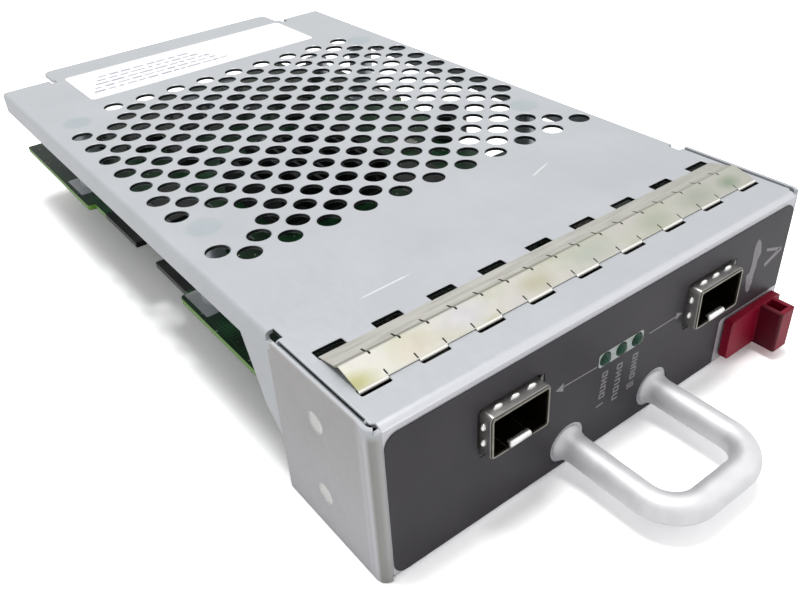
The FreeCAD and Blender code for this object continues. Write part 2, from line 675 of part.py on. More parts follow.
def release_latch():
    """Moulded latch: outer plate with a hollow thumb piece, a stem, a slide and a catch tooth."""
    front = -PLATE_GAP - PLATE
    plate = rounded_prism(PLATE_X[0], PLATE_X[1], PLATE_Z[0], PLATE_Z[1], 1.2, front, -PLATE_GAP, "xz")
    tip = front - THUMB_REACH
    thumb = box(THUMB_X[0], THUMB_X[1], tip, front, PLATE_Z[0], PLATE_Z[1])
    tall = (PLATE_Z[1] - PLATE_Z[0]) / 2
    edges = [e for e in thumb.Edges if abs(e.CenterOfMass.y - tip) < 0.01 and
             e.BoundBox.ZLength > tall]
    thumb = thumb.makeFillet(0.6, edges)
    pocket = box(THUMB_X[0] + THUMB_WALL, THUMB_X[1] - THUMB_WALL, tip + THUMB_WALL, front - 0.3,
                 PLATE_Z[0] + THUMB_WALL, PLATE_Z[1] + 1)
    stem = box(STEM_X[0], STEM_X[1], -PLATE_GAP - 0.5, SLIDE_Y[0] + 0.5, STEM_Z[0], STEM_Z[1])
    slide = box(SLIDE_X[0], SLIDE_X[1], SLIDE_Y[0], SLIDE_Y[1], SLIDE_Z[0], SLIDE_Z[1])
    lighten = box(SLIDE_X[0] + 2, STEM_X[0] - 1, SLIDE_Y[0] + 2, SLIDE_Y[1] + 1,
                  SLIDE_Z[0] + 1.5, SLIDE_Z[1] - 1.5)
    reach = HALF + TOOTH_PROUD
    tooth = [(SLIDE_X[1] - 1, TOOTH_Y[0]), (reach, TOOTH_Y[0]),
             (reach, TOOTH_Y[0] + 1.2), (HALF - SHEET, TOOTH_Y[1]), (SLIDE_X[1] - 1, TOOTH_Y[1])]
    catch = prism(tooth, TOOTH_Z[0], TOOTH_Z[1], "xy")
    return fuse([plate, thumb, stem, slide.cut(lighten), catch]).cut(pocket)


def latch_guide():
    """Folded steel guide behind the panel that the slide runs in, with a stop for the spring."""
    g = GUIDE_SHEET
    c = SLIDE_CLEAR
    x0 = SLIDE_X[0] - SPRING_LENGTH - 2 * FIT - g
    x1 = FLANGE_IN - 0.3
    z0, z1 = SLIDE_Z[0] - c, SLIDE_Z[1] + c
    y1 = SLIDE_Y[1] + c
    web = box(x0, x1, y1, y1 + g, z0 - g, z1 + g)
    roof = box(x0, x1, SHEET, y1 + g, z1, z1 + g)
    floor = box(x0, x1, SHEET, y1 + g, z0 - g, z0)
    stop = box(x0, x0 + g, SHEET + 0.5, y1 + g, z0 - g, z1 + g)
    foot = box(x0, STEM_X[0], SHEET, SHEET + g, z1, z1 + GUIDE_FOOT)
    window = box(STEM_X[0] - LATCH_TRAVEL, STEM_X[1], y1 - 1, y1 + g + 1, STEM_Z[0], STEM_Z[1])
    return fuse([web, roof, floor, stop, foot]).cut(window)


def latch_spring():
    """Flat spring folded to and fro that pushes the latch out to its catch."""
    x0 = SLIDE_X[0] - FIT - SPRING_LENGTH
    step = SPRING_LENGTH / SPRING_FOLDS
    thick = SPRING_SHEET * math.hypot(step, SPRING_DEPTH) / step
    middle = (SLIDE_Y[0] + SLIDE_Y[1]) / 2
    y0, y1 = middle - SPRING_DEPTH / 2, middle + SPRING_DEPTH / 2 - thick
    near = [(x0 + n * step, y1 if n % 2 else y0) for n in range(SPRING_FOLDS + 1)]
    far = [(x, y + thick) for x, y in reversed(near)]
    z = (SLIDE_Z[0] + SLIDE_Z[1]) / 2
    return prism(near + far, z - SPRING_WIDTH / 2, z + SPRING_WIDTH / 2, "xy")


def main_board():
    """Board outline: a stepped notch and a deeper bay in each long edge, a shelf over the plug."""
    left, right = BOARD_LEFT, BOARD_RIGHT
    n0, n1 = BOARD_NOTCH_Y
    ln, rn = left + BOARD_NOTCH_LEFT, right - BOARD_NOTCH_RIGHT
    lb, rb = ln + LEFT_BAY, rn - RIGHT_BAY
    shelf = BOARD_BACK + BOARD_REAR_REACH
    outline = [
        (left, BOARD_FRONT), (right, BOARD_FRONT), (right, n0), (rn, n0),
        (rn, RIGHT_BAY_Y[0]), (rb, RIGHT_BAY_Y[0]), (rb, RIGHT_BAY_Y[1]), (rn, RIGHT_BAY_Y[1]),
        (rn, n1), (right, n1), (right, BOARD_BACK), (BOARD_REAR_HALF, BOARD_BACK),
        (BOARD_REAR_HALF, shelf), (-BOARD_REAR_HALF, shelf), (-BOARD_REAR_HALF, BOARD_BACK),
        (left, BOARD_BACK),
        (left, n1), (ln, n1), (ln, LEFT_BAY_Y[1]), (lb, LEFT_BAY_Y[1]),
        (lb, LEFT_BAY_Y[0]), (ln, LEFT_BAY_Y[0]), (ln, n0), (left, n0),
    ]
    board = prism(outline, BOARD_UNDER, BOARD_TOP, "xy")
    upright = []
    for e in board.Edges:
        ends = e.BoundBox
        at_notch = abs(ends.YMin - n0) < 0.01 or abs(ends.YMin - n1) < 0.01
        outside = abs(ends.XMin - left) < 0.01 or abs(ends.XMin - right) < 0.01
        if ends.ZLength > BOARD / 2 and at_notch and outside:
            upright.append(e)
    board = board.makeFillet(1.2, upright)
    holes = [Part.makeCylinder(POST_BORE_D / 2 + 2 * FIT, BOARD + 2, vec(x, y, BOARD_UNDER - 1))
             for x, y in post_places()]
    return board.cut(holes)


def board_standoffs():
    """Four posts pressed into the top, each with a flush round head and a tapped end."""
    posts = []
    for x, y in post_places():
        head = Part.makeCylinder(POST_HEAD_D / 2, SHEET, vec(x, y, UNDERSIDE))
        post = Part.makeCylinder(POST_D / 2, UNDERSIDE - BOARD_TOP, vec(x, y, BOARD_TOP))
        bore = Part.makeCylinder(POST_BORE_D / 2, POST_BORE_DEPTH, vec(x, y, BOARD_TOP))
        posts.append(fuse([head, post]).cut(bore))
    return Part.makeCompound(posts)


def board_screws():
    """Four screws from under the board into the posts."""
    head_d, head = BOARD_SCREW_HEAD
    screws = []
    for x, y in post_places():
        cap = Part.makeCylinder(head_d / 2, head, vec(x, y, BOARD_UNDER - head))
        shank = Part.makeCylinder(POST_BORE_D / 2 - FIT, BOARD + POST_BORE_DEPTH * 0.8,
                                  vec(x, y, BOARD_UNDER))
        screws.append(fuse([cap, shank]))
    return Part.makeCompound(screws)


def wall_rivets():
    """Flat-head rivets that tie the side walls to the flanges behind them."""
    rivets = []
    for side in (-1, 1):
        for z in RIVET_Z:
            inward = vec(-side, 0, 0)
            face = vec(side * (HALF - FIT), RIVET_Y, z)
            head = Part.makeCone(RIVET_SINK_D / 2 - 0.9, RIVET_D / 2 - FIT, RIVET_SINK - FIT, face,
                                 inward)
            shank = Part.makeCylinder(RIVET_D / 2 - FIT, HALF - FIT - FLANGE_IN, face, inward)
            tail = Part.makeCylinder(RIVET_D / 2 + 0.8, 0.8, vec(side * FLANGE_IN, RIVET_Y, z), inward)
            rivets.append(fuse([head, shank, tail]))
    return Part.makeCompound(rivets)


def backplane_connector():
    """Deep rear plug under the board, with a grid of contact cells in its mating face."""
    y0, y1 = PLUG_Y
    body = box(-PLUG_HALF, PLUG_HALF, y0, y1, 0, BOARD_UNDER)
    step_x = 2 * PLUG_HALF / (PLUG_COLUMNS + 0.5)
    step_z = BOARD_UNDER / (PLUG_ROWS + 0.5)
    cells = []
    for i in range(PLUG_COLUMNS):
        for j in range(PLUG_ROWS):
            x = (i - (PLUG_COLUMNS - 1) / 2) * step_x
            z = BOARD_UNDER / 2 + (j - (PLUG_ROWS - 1) / 2) * step_z
            h = PLUG_CELL / 2
            cells.append(box(x - h, x + h, y1 - PLUG_CELL_DEPTH, y1 + 1, z - h, z + h))
    return body.cut(cells)


def guide_socket(side):
    """Block beside the plug with a hole for a guide pin."""
    x0 = PLUG_HALF + GUIDE_SOCKET_GAP
    x1 = x0 + GUIDE_SOCKET_WIDTH
    y0, y1 = PLUG_Y
    z = (GUIDE_SOCKET_BASE + BOARD_UNDER) / 2
    x = (x0 + x1) / 2
    block = box(x0, x1, y0, y1, GUIDE_SOCKET_BASE, BOARD_UNDER)
    hole = rod(GUIDE_SOCKET_D / 2, vec(x, y0 + GUIDE_SOCKET_FLOOR, z), vec(x, y1 + 1, z))
    block = block.cut(hole)
    return block if side > 0 else mirrored(block)


def spot(u, v):
    """Place on the board from shares of its width and length."""
    return (BOARD_LEFT + u * (BOARD_RIGHT - BOARD_LEFT), BOARD_FRONT + v * (BOARD_BACK - BOARD_FRONT))


def chip(x, y, w, d, h):
    """Square package on the board with a bevelled top edge."""
    body = box(x - w / 2, x + w / 2, y - d / 2, y + d / 2, BOARD_TOP, BOARD_TOP + h)
    edges = [e for e in body.Edges if abs(e.BoundBox.ZMin - BOARD_TOP - h) < 0.01]
    return body.makeChamfer(min(CHIP_BEVEL, h / 4), edges)


def heat_sink():
    """Straight fins standing on a base plate as large as the chip under it."""
    x, y = spot(*HUB_SPOT)
    w = d = HUB_CHIP
    z = BOARD_TOP + HUB_CHIP_HEIGHT
    top = UNDERSIDE - SINK_HEADROOM
    base = box(x - w / 2, x + w / 2, y - d / 2, y + d / 2, z, z + SINK_BASE)
    step = (w - FIN) / (SINK_FINS - 1)
    fins = [box(x - w / 2 + n * step, x - w / 2 + n * step + FIN, y - d / 2, y + d / 2, z, top)
            for n in range(SINK_FINS)]
    return fuse([base] + fins)


def capacitor(x, y, d, depth, h):
    """Round can on a square foot with two bevelled corners."""
    a, b = d * 0.525, d / 4
    foot = prism([(x - a, y - a), (x + a, y - a), (x + a, y + b), (x + b, y + a), (x - b, y + a),
                  (x - a, y + b)], BOARD_TOP, BOARD_TOP + CAN_FOOT, "xy")
    can = Part.makeCylinder(d / 2, h - CAN_FOOT, vec(x, y, BOARD_TOP + CAN_FOOT))
    return fuse([foot, can])


def inductor(x, y, w, d, h):
    """Square moulded coil with bevelled corners."""
    block = box(x - w / 2, x + w / 2, y - d / 2, y + d / 2, BOARD_TOP, BOARD_TOP + h)
    corners = [e for e in block.Edges if e.BoundBox.ZLength > h / 2]
    return block.makeChamfer(w * 0.18, corners)


def underside_chip(x, y, w, d, h):
    """Flat package under the board."""
    return box(x - w / 2, x + w / 2, y - d / 2, y + d / 2, BOARD_UNDER - h, BOARD_UNDER)


def build():
    os.makedirs("parts", exist_ok=True)
    write("carrier_housing", carrier_housing())
    write("finger_strip", finger_strip())
    write("front_overlay", front_overlay())
    write("product_label", product_label())
    for name, x in zip(("left", "right"), PORT_XS):
        write("port_cage_" + name, port_cage(x))
        write("cage_collar_" + name, cage_collar(x))
        write("host_connector_" + name, host_connector(x))
    write("lamp_holder", lamp_holder())
    for n, (x, z) in enumerate(lamp_places()):
        write("status_lamp_%d" % (n + 1), status_lamp(x, z))
    write("pull_handle", pull_handle())
    write("handle_screws", handle_screws())
    write("release_latch", release_latch())
    write("latch_guide", latch_guide())
    write("latch_spring", latch_spring())
    write("main_board", main_board())
    write("board_standoffs", board_standoffs())
    write("board_screws", board_screws())
    write("wall_rivets", wall_rivets())
    write("backplane_connector", backplane_connector())
    write("guide_socket_left", guide_socket(-1))
    write("guide_socket_right", guide_socket(1))
    write("heat_sink", heat_sink())
    write("hub_chip", chip(*spot(*HUB_SPOT), HUB_CHIP, HUB_CHIP, HUB_CHIP_HEIGHT))
    write("flash_chip", chip(*spot(*FLASH_SPOT), *FLASH_CHIP))
    rows = (("memory_chip", MEMORY_CHIPS, chip), ("logic_chip", LOGIC_CHIPS, chip),
            ("regulator", REGULATORS, chip), ("clock_can", CLOCK_CANS, chip),
            ("bulk_capacitor", CAPACITORS, capacitor), ("power_inductor", INDUCTORS, inductor),
            ("underside_chip", UNDER_CHIPS, underside_chip))
    for name, places, make in rows:
        for n, (u, v, w, d, h) in enumerate(places):
            write("%s_%d" % (name, n + 1), make(*spot(u, v), w, d, h))
    w, d, h = TRANSCEIVER
    y = CAGE_LENGTH - CAGE_PROUD + TRANSCEIVER_GAP + d / 2
    for n, x in enumerate(PORT_XS):
        write("transceiver_chip_%d" % (n + 1), chip(x, y, w, d, h))


build()
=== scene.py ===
# %% [markdown]
# # A channel board in its folded carrier
# The object is a hot-plug module: a sheet-metal carrier holds a circuit board, and its front
# panel carries two ports, three lamps, a pull handle and a dark red latch. The sizes come from
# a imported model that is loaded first. Each later step dresses one piece with its true surface
# or its finish. Lengths are written in millimetres and become metres when a mesh is made.

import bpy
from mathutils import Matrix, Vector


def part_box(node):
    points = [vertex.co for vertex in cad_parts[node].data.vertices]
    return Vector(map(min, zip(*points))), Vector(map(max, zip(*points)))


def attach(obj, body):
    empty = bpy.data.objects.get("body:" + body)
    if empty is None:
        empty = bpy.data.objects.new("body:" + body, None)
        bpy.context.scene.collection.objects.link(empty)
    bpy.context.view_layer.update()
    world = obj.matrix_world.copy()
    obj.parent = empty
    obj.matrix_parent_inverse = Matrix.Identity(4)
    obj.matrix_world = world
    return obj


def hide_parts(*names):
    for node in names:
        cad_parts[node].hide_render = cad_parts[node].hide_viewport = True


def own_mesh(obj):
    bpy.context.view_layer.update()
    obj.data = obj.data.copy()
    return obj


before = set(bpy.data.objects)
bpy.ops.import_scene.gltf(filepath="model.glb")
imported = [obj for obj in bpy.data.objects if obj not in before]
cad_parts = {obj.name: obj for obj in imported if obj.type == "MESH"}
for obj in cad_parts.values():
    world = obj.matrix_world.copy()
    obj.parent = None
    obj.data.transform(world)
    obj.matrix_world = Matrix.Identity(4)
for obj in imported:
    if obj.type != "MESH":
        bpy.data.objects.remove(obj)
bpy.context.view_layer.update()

# %% Units and modules
import math

import bpy
import numpy as np
from mathutils import Vector, geometry

MM = 0.001
QUARTER = math.pi / 2


def span(node):
    """Lowest and highest corner of a node, in millimetres."""
    low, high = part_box(node)
    return np.array(low) / MM, np.array(high) / MM


housing_high = span("carrier_housing")[1]
HALF = housing_high[0]
HEIGHT = housing_high[2]
TAB_END = housing_high[1]
print("carrier: %.1f wide, %.1f high, %.1f deep" % (2 * HALF, HEIGHT, TAB_END))

# %% [markdown]
# ## The camera
# The view is the photograph's: a short lens close to the front left corner, looking down on
# the top. Eye and angles were worked out from edges of known length, so they are just typed.

# %% Camera
EYE = (-0.11442, -0.08476, 0.13611)
TURN = (0.956762, 0.051756, -0.654393)
LENS = 38.077
camera_data = bpy.data.cameras.new("camera")
camera_data.lens = LENS
camera = bpy.data.objects.new("camera", camera_data)
camera.location = EYE
camera.rotation_euler = TURN
bpy.context.scene.collection.objects.link(camera)
bpy.context.scene.camera = camera
print("camera at", EYE, "with a lens of", LENS)

# %% [markdown]
# ## Floor and light
# Plated metal shows what stands round it, so the room matters as much as the lamps. A small
# soft lamp hangs over the object and keeps the shadows close to it, and a wide, weaker one
# stands at the front right. The Light Path node tells three rays apart: what lights the object
# is a middle grey, what its metal mirrors is paler, and what the camera sees behind it is white.
# So the background turns white without any more light on the object.

# %% Floor, world and lamps
def make_world(soft, mirrored):
    """A plain room: soft is the grey that lights the object, mirrored the grey that its metal
    shows, and the camera itself sees white."""
    world = bpy.data.worlds.new("room")
    bpy.context.scene.world = world
    world.use_nodes = True
    tree = world.node_tree
    tree.nodes.clear()
    out = tree.nodes.new("ShaderNodeOutputWorld")
    room = tree.nodes.new("ShaderNodeBackground")
    path = tree.nodes.new("ShaderNodeLightPath")
    mixes = []
    for ray, grey in (("Is Glossy Ray", mirrored), ("Is Camera Ray", 1.0)):
        mix = tree.nodes.new("ShaderNodeMix")
        mix.data_type = "RGBA"
        mix.inputs[6].default_value = (soft, soft, soft, 1)
        mix.inputs[7].default_value = (grey, grey, grey, 1)
        tree.links.new(path.outputs[ray], mix.inputs[0])
        mixes.append(mix)
    tree.links.new(mixes[0].outputs[2], mixes[1].inputs[6])
    tree.links.new(mixes[1].outputs[2], room.inputs["Color"])
    tree.links.new(room.outputs[0], out.inputs[0])


def area_lamp(name, place, target, size, power):
    """A square soft lamp at a place, turned towards a target."""
    data = bpy.data.lights.new(name, "AREA")
    data.shape = "SQUARE"
    data.size = size
    data.energy = power
    lamp = bpy.data.objects.new(name, data)
    lamp.location = place
    lamp.rotation_euler = (Vector(target) - Vector(place)).to_track_quat("-Z", "Y").to_euler()
    bpy.context.scene.collection.objects.link(lamp)


def make_floor(reach, lightness, seen):
    """A flat square under the object: lightness is what the light meets, seen what the camera
    sees. A seen value above 1 lets the floor fade into the background and keeps its shadows."""
    mesh = bpy.data.meshes.new("floor")
    corners = [(-reach, -reach, 0), (reach, -reach, 0), (reach, reach, 0), (-reach, reach, 0)]
    mesh.from_pydata(corners, [], [(0, 1, 2, 3)])
    floor = bpy.data.objects.new("floor", mesh)
    bpy.context.scene.collection.objects.link(floor)
    material = bpy.data.materials.new("white_floor")
    material.use_nodes = True
    tree = material.node_tree
    tree.nodes.clear()
    out = tree.nodes.new("ShaderNodeOutputMaterial")
    paper = tree.nodes.new("ShaderNodeBsdfDiffuse")
    path = tree.nodes.new("ShaderNodeLightPath")
    mix = tree.nodes.new("ShaderNodeMix")
    mix.data_type = "RGBA"
    mix.inputs[6].default_value = (lightness, lightness, lightness, 1)
    mix.inputs[7].default_value = (seen, seen, seen, 1)
    tree.links.new(path.outputs["Is Camera Ray"], mix.inputs[0])
    tree.links.new(mix.outputs[2], paper.inputs["Color"])
    tree.links.new(paper.outputs[0], out.inputs[0])
    mesh.materials.append(material)


make_world(0.5, 0.85)
make_floor(3.0, 0.9, 1.75)
area_lamp("overhead", (-0.05, 0.12, 0.9), (0, 0.08, 0), 0.24, 4.9)
area_lamp("front_right", (0.6, -0.7, 0.6), (0, 0.02, 0.02), 0.9, 1.6)
bpy.context.scene.view_settings.view_transform = "Standard"
print("stage: floor, world and two soft lamps")

# %% [markdown]
# ## Meshes from arrays
# A surface here is an array of points and a list of faces. `grid_faces` joins the points of a
# rows-by-columns grid with quads, `join` puts several surfaces into one, and `piece` makes the
# Blender object, in place at the origin, and lets it ride on a body of the model.

# %% Helpers for meshes
def grid_faces(rows, columns, round_rows=False, round_columns=False):
    """Quads between neighbours of a grid: point (i, j) has the number i * columns + j."""
    i = np.arange(rows if round_rows else rows - 1)
    j = np.arange(columns if round_columns else columns - 1)
    i, j = np.meshgrid(i, j, indexing="ij")
    i2, j2 = (i + 1) % rows, (j + 1) % columns
    corners = (i * columns + j, i * columns + j2, i2 * columns + j2, i2 * columns + j)
    return np.stack(corners, -1).reshape(-1, 4).tolist()


def join(parts):
    """One surface from several, with the numbers of the later faces moved on."""
    points, faces, start = [], [], 0
    for p, f in parts:
        points.append(np.asarray(p, float))
        faces += [[n + start for n in face] for face in f]
        start += len(p)
    return np.concatenate(points), faces


def turned_piece(profile, centre, axis="y", columns=32):
    """Turns (radius, depth) pairs about a line along one axis; depth grows, and the first and
    last radius are zero: point = centre + r (cos u + sin v) + depth w."""
    w = "xyz".index(axis)
    u, v = (w + 1) % 3, (w + 2) % 3
    r, depth = np.array(profile, float).T
    turn = np.arange(columns) * 2 * math.pi / columns
    points = np.zeros((len(r) - 2, columns, 3)) + np.array(centre, float)
    points[..., u] += r[1:-1, None] * np.cos(turn)
    points[..., v] += r[1:-1, None] * np.sin(turn)
    points[..., w] += depth[1:-1, None]
    poles = np.zeros((2, 3)) + np.array(centre, float)
    poles[:, w] += depth[[0, -1]]
    rows = len(r) - 2
    faces = grid_faces(rows, columns, round_columns=True)
    j = np.arange(columns)
    k = (j + 1) % columns
    first = np.full(columns, rows * columns)
    end = (rows - 1) * columns
    faces += np.stack([k, j, first], -1).tolist()
    faces += np.stack([end + j, end + k, first + 1], -1).tolist()
    return np.concatenate([points.reshape(-1, 3), poles]), faces


def dome(centre, across, along, out, size, columns=20, rows=6):
    """Half ellipsoid: centre + a cos t cos s across + b cos t sin s along + c sin t out."""
    t = np.linspace(0, QUARTER, rows)[:-1, None]
    s = (np.arange(columns) * 2 * math.pi / columns)[None, :]
    a, b, c = size
    centre, out = np.array(centre, float), np.array(out, float)
    grid = centre + (a * np.cos(t) * np.cos(s))[..., None] * np.array(across, float)
    grid = grid + (b * np.cos(t) * np.sin(s))[..., None] * np.array(along, float)
    grid = grid + (c * np.sin(t) + 0 * s)[..., None] * out
    faces = grid_faces(rows - 1, columns, round_columns=True)
    j = np.arange(columns)
    last = (rows - 2) * columns
    top = np.full(columns, (rows - 1) * columns)
    faces += np.stack([last + j, last + (j + 1) % columns, top], -1).tolist()
    faces.append(list(range(columns))[::-1])
    return np.concatenate([grid.reshape(-1, 3), [centre + c * out]]), faces


def plate(loop, place, thick):
    """Closed plate: the loop on its outer side, the same loop thick below, walls between."""
    count = len(loop)
    zero = np.zeros(count)
    points = np.concatenate([place(loop[:, 0], loop[:, 1], zero),
                             place(loop[:, 0], loop[:, 1], zero - thick)])
    j = np.arange(count)
    k = (j + 1) % count
    faces = [j.tolist(), (j[::-1] + count).tolist()]
    return points, faces + np.stack([j, j + count, k + count, k], -1).tolist()


def piece(name, surface, body="carrier", stands_for=(), smooth=32):
    """Makes the object from a surface in millimetres; edges above smooth degrees stay crisp."""
    points, faces = surface
    mesh = bpy.data.meshes.new(name)
    mesh.from_pydata((np.asarray(points) * MM).tolist(), [], faces)
    mesh.validate()
    mesh.polygons.foreach_set("use_smooth", np.ones(len(mesh.polygons), bool))
    mesh.set_sharp_from_angle(angle=math.radians(smooth))
    mesh.update()
    made = bpy.data.objects.new(name, mesh)
    bpy.context.scene.collection.objects.link(made)
    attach(made, body)
    if stands_for:
        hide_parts(*stands_for)
    print("%s: %d points, %d faces" % (name, len(mesh.vertices), len(mesh.polygons)))
    return made


# %% [markdown]
# ## A folded sheet
# A maker cuts a sheet flat, with all its holes, and folds it afterwards. The same order works
# in a script. `cut_sheet` fills a flat outline with triangles, leaves its holes out, and gives
# the sheet a thickness with a small bevel along each cut edge. A fold is then only a function
# that carries a flat point to its place in space. Creases are extra lines that put points
# where the sheet bends.

# %% Outlines in the flat
def ring(x, y, radius, count=24):
    """Circle: count points at equal angles, counter-clockwise."""
    turn = (np.arange(count) + 0.5) * 2 * math.pi / count
    return np.stack([x + radius * np.cos(turn), y + radius * np.sin(turn)], -1)


def frame_loop(x0, x1, y0, y1, radius=0.0, steps=5):
    """Rectangle, counter-clockwise, with each corner a quarter circle of the given radius."""
    if radius == 0:
        return np.array([(x0, y0), (x1, y0), (x1, y1), (x0, y1)], float)
    centres = np.array([(x1 - radius, y0 + radius), (x1 - radius, y1 - radius),
                        (x0 + radius, y1 - radius), (x0 + radius, y0 + radius)])
    turn = np.linspace(0, QUARTER, steps)[None, :] + (np.arange(4) * QUARTER - QUARTER)[:, None]
    arc = np.stack([np.cos(turn), np.sin(turn)], -1) * radius
    return (centres[:, None, :] + arc).reshape(-1, 2)


def corner_moves(start, end, reach_in, reach_out):
    """Where two edges meet after each moves sideways: solves move . normal = reach for both.

    start and end are the directions of the edges that arrive and leave; their right-hand
    normals point out of the sheet."""
    n1 = np.stack([start[:, 1], -start[:, 0]], -1)
    n2 = np.stack([end[:, 1], -end[:, 0]], -1)
    n1 /= np.linalg.norm(n1, axis=1)[:, None]
    n2 /= np.linalg.norm(n2, axis=1)[:, None]
    det = n1[:, 0] * n2[:, 1] - n1[:, 1] * n2[:, 0]
    straight = np.abs(det) < 1e-3
    safe = np.where(straight, 1, det)
    corner = np.stack([reach_in * n2[:, 1] - reach_out * n1[:, 1],
                       reach_out * n1[:, 0] - reach_in * n2[:, 0]], -1) / safe[:, None]
    along = (n1 + n2) / 2 * ((reach_in + reach_out) / 2)[:, None]
    return np.where(straight[:, None], along, corner)


def moved_loop(loop, reach):
    """The loop with each edge moved to its right by reach, which may differ from edge to edge."""
    reach = np.broadcast_to(np.asarray(reach, float), len(loop))
    leave = np.roll(loop, -1, 0) - loop
    arrive = np.roll(leave, 1, 0)
    return loop + corner_moves(arrive, leave, np.roll(reach, 1), reach)


# %% Cut a sheet and give it a thickness
BEVEL = 0.15


def cut_sheet(outline, holes, creases, fold, thick, seam=None, wide=(), bevel=BEVEL):
    """Surface of a folded sheet.

    The outline is shrunk and each hole grown by the bevel, the space between is filled with
    triangles, and every rim gets two bands: the bevel, then the wall through the sheet. wide
    lists (x, y, distance, reach, sink) for rims near a point that have a wider bevel. seam
    says of pairs of rim points which edges meet another sheet and get no wall."""
    def rim(points):
        reach = np.full(len(points), bevel)
        sink = np.full(len(points), bevel)
        for x, y, near, wide_reach, wide_sink in wide:
            close = np.hypot(points[:, 0] - x, points[:, 1] - y) < near
            reach[close], sink[close] = wide_reach, wide_sink
        return reach, sink

    def open_edge(a, b):
        return np.zeros(len(a), bool) if seam is None else seam(a, b)

    outer = np.where(open_edge(outline, np.roll(outline, -1, 0)), 0, -bevel)
    loops = [moved_loop(outline, outer)]
    loops += [moved_loop(hole, rim(hole)[0]) for hole in holes]
    starts = np.cumsum([0] + [len(loop) for loop in loops])
    rings = [list(range(a, b)) for a, b in zip(starts[:-1], starts[1:])]
    points = np.concatenate(loops + [np.reshape(creases, (-1, 2))])
    lines = [(starts[-1] + 2 * n, starts[-1] + 2 * n + 1) for n in range(len(creases))]
    flat, _, tris, _, _, owners = geometry.delaunay_2d_cdt(
        [Vector(p) for p in points.tolist()], lines, rings, 0, 1e-5, True)
    flat = np.array([tuple(p) for p in flat])
    tris = np.array([t for t, own in zip(tris, owners) if list(own) == [0]])
    used, tris = np.unique(tris, return_inverse=True)
    tris = tris.reshape(-1, 3)
    flat = flat[used]

    edges = np.concatenate([tris[:, [0, 1]], tris[:, [1, 2]], tris[:, [2, 0]]])
    count = len(flat)
    keys, back = edges[:, 0] * count + edges[:, 1], edges[:, 1] * count + edges[:, 0]
    edges = edges[~np.isin(keys, back)]
    leave = edges[np.argsort(edges[:, 0])]
    arrive = edges[np.argsort(edges[:, 1])]
    rims = leave[:, 0]
    reach, sink = rim(flat[rims])
    shut = open_edge(flat[leave[:, 0]], flat[leave[:, 1]])
    shut_before = open_edge(flat[arrive[:, 0]], flat[arrive[:, 1]])
    arriving = flat[rims] - flat[arrive[:, 0]]
    leaving = flat[leave[:, 1]] - flat[rims]
    true = flat[rims] + corner_moves(arriving, leaving, np.where(shut_before, 0, reach),
                                     np.where(shut, 0, reach))
    under = flat.copy()
    under[rims] = true
    number = np.full(count, -1)
    number[rims] = np.arange(len(rims))
    sheet = [fold(flat[:, 0], flat[:, 1], np.zeros(count)),
             fold(under[:, 0], under[:, 1], np.full(count, -thick)),
             fold(true[:, 0], true[:, 1], -sink)]
    a, b = leave[~shut].T
    ra, rb = number[a] + 2 * count, number[b] + 2 * count
    faces = np.concatenate([tris, tris[:, ::-1] + count]).tolist()
    faces += np.stack([a, ra, rb, b], -1).tolist()
    faces += np.stack([ra, a + count, b + count, rb], -1).tolist()
    return np.concatenate(sheet), faces


# %% Bent lines
def bent_line(start, heading, moves, steps=7):
    """A line of straight runs and turns, as stations: length so far, point, normal.

    A move is (run, 0, 0) or (0, radius, angle), with both below zero for a left-hand turn. The
    normal is on the left of the heading, the outer side of a right-hand turn."""
    place, angle, length = np.array(start, float), heading, 0.0
    at, points, normals = [0.0], [place], [np.array([-math.sin(angle), math.cos(angle)])]
    for run, radius, turn in moves:
        if run:
            place = place + run * np.array([math.cos(angle), math.sin(angle)])
            length += run
            at.append(length)
            points.append(place)
            normals.append(normals[-1])
            continue
        centre = place - radius * normals[-1]
        for part in np.linspace(0, turn, steps)[1:]:
            side = angle - part
            normal = np.array([-math.sin(side), math.cos(side)])
            at.append(length + radius * part)
            points.append(centre + radius * normal)
            normals.append(normal)
        angle, place, length = angle - turn, points[-1], at[-1]
    return np.array(at), np.array(points), np.array(normals)


def follow(line, at):
    """Point and normal of a bent line at given lengths, between its stations in proportion."""
    lengths, points, normals = line
    place = np.stack([np.interp(at, lengths, points[:, k]) for k in (0, 1)], -1)
    normal = np.stack([np.interp(at, lengths, normals[:, k]) for k in (0, 1)], -1)
    return place, normal


print("sheet tools ready")

# %% [markdown]
# ## The carrier
# The real carrier is one sheet, 1 mm thick. Here two flat blanks that meet in a seam make it:
# the top with its side lips and its stepped tab at the back, and the panel with its side walls.
# A blank is drawn flat because that is where holes are round and edges are straight. The
# perforations are a staggered grid of round holes, left out round the four posts.

# %% Sizes of the carrier
SHEET = 1.0
TOP_BEND = 1.8
CORNER_BEND = 2.5
EDGE_BEND = 1.2
WALL_DEPTH = 33.5
LIP_DEPTH = 6.4
FLANGE_START = 3.2
FLANGE_FOOT = 3.5
FLANGE_FOOT_END = 27.0
FLANGE_KNEE = (41.0, 17.5)
FLANGE_TOP_Y = 47.5
BASE_FLANGE = 13.0
BASE_FLANGE_MARGIN = 5.0
RELIEF = 2.4
CORNER_RELIEF = 0.5
CORNER_DROP = 0.9
CORNER_TONGUE = 0.9
SEAM_SLOT = (0.5, 1.3)
TAB_HALF = 43.8
TAB_LENGTH = 13.0
TAB_DROP = 1.0
TAB_SLOPE = 3.0
TAB_CORNER = 3.0
DEPTH = TAB_END - TAB_LENGTH
FLANGE_OUT = HALF - SHEET - 0.1
FLAT_HALF = FLANGE_OUT - EDGE_BEND
FRONT_HALF = HALF - CORNER_BEND
CREASE_STEPS = 7
TOOTH_SLOT_Y, TOOTH_SLOT_Z = (4.5, 9.3), (5.1, 10.9)
HOLE_D = 5.8
PITCH = 10.44
HOLE_ROWS = 11
HOLE_COLUMNS = 22
FIELD_X = 1.1
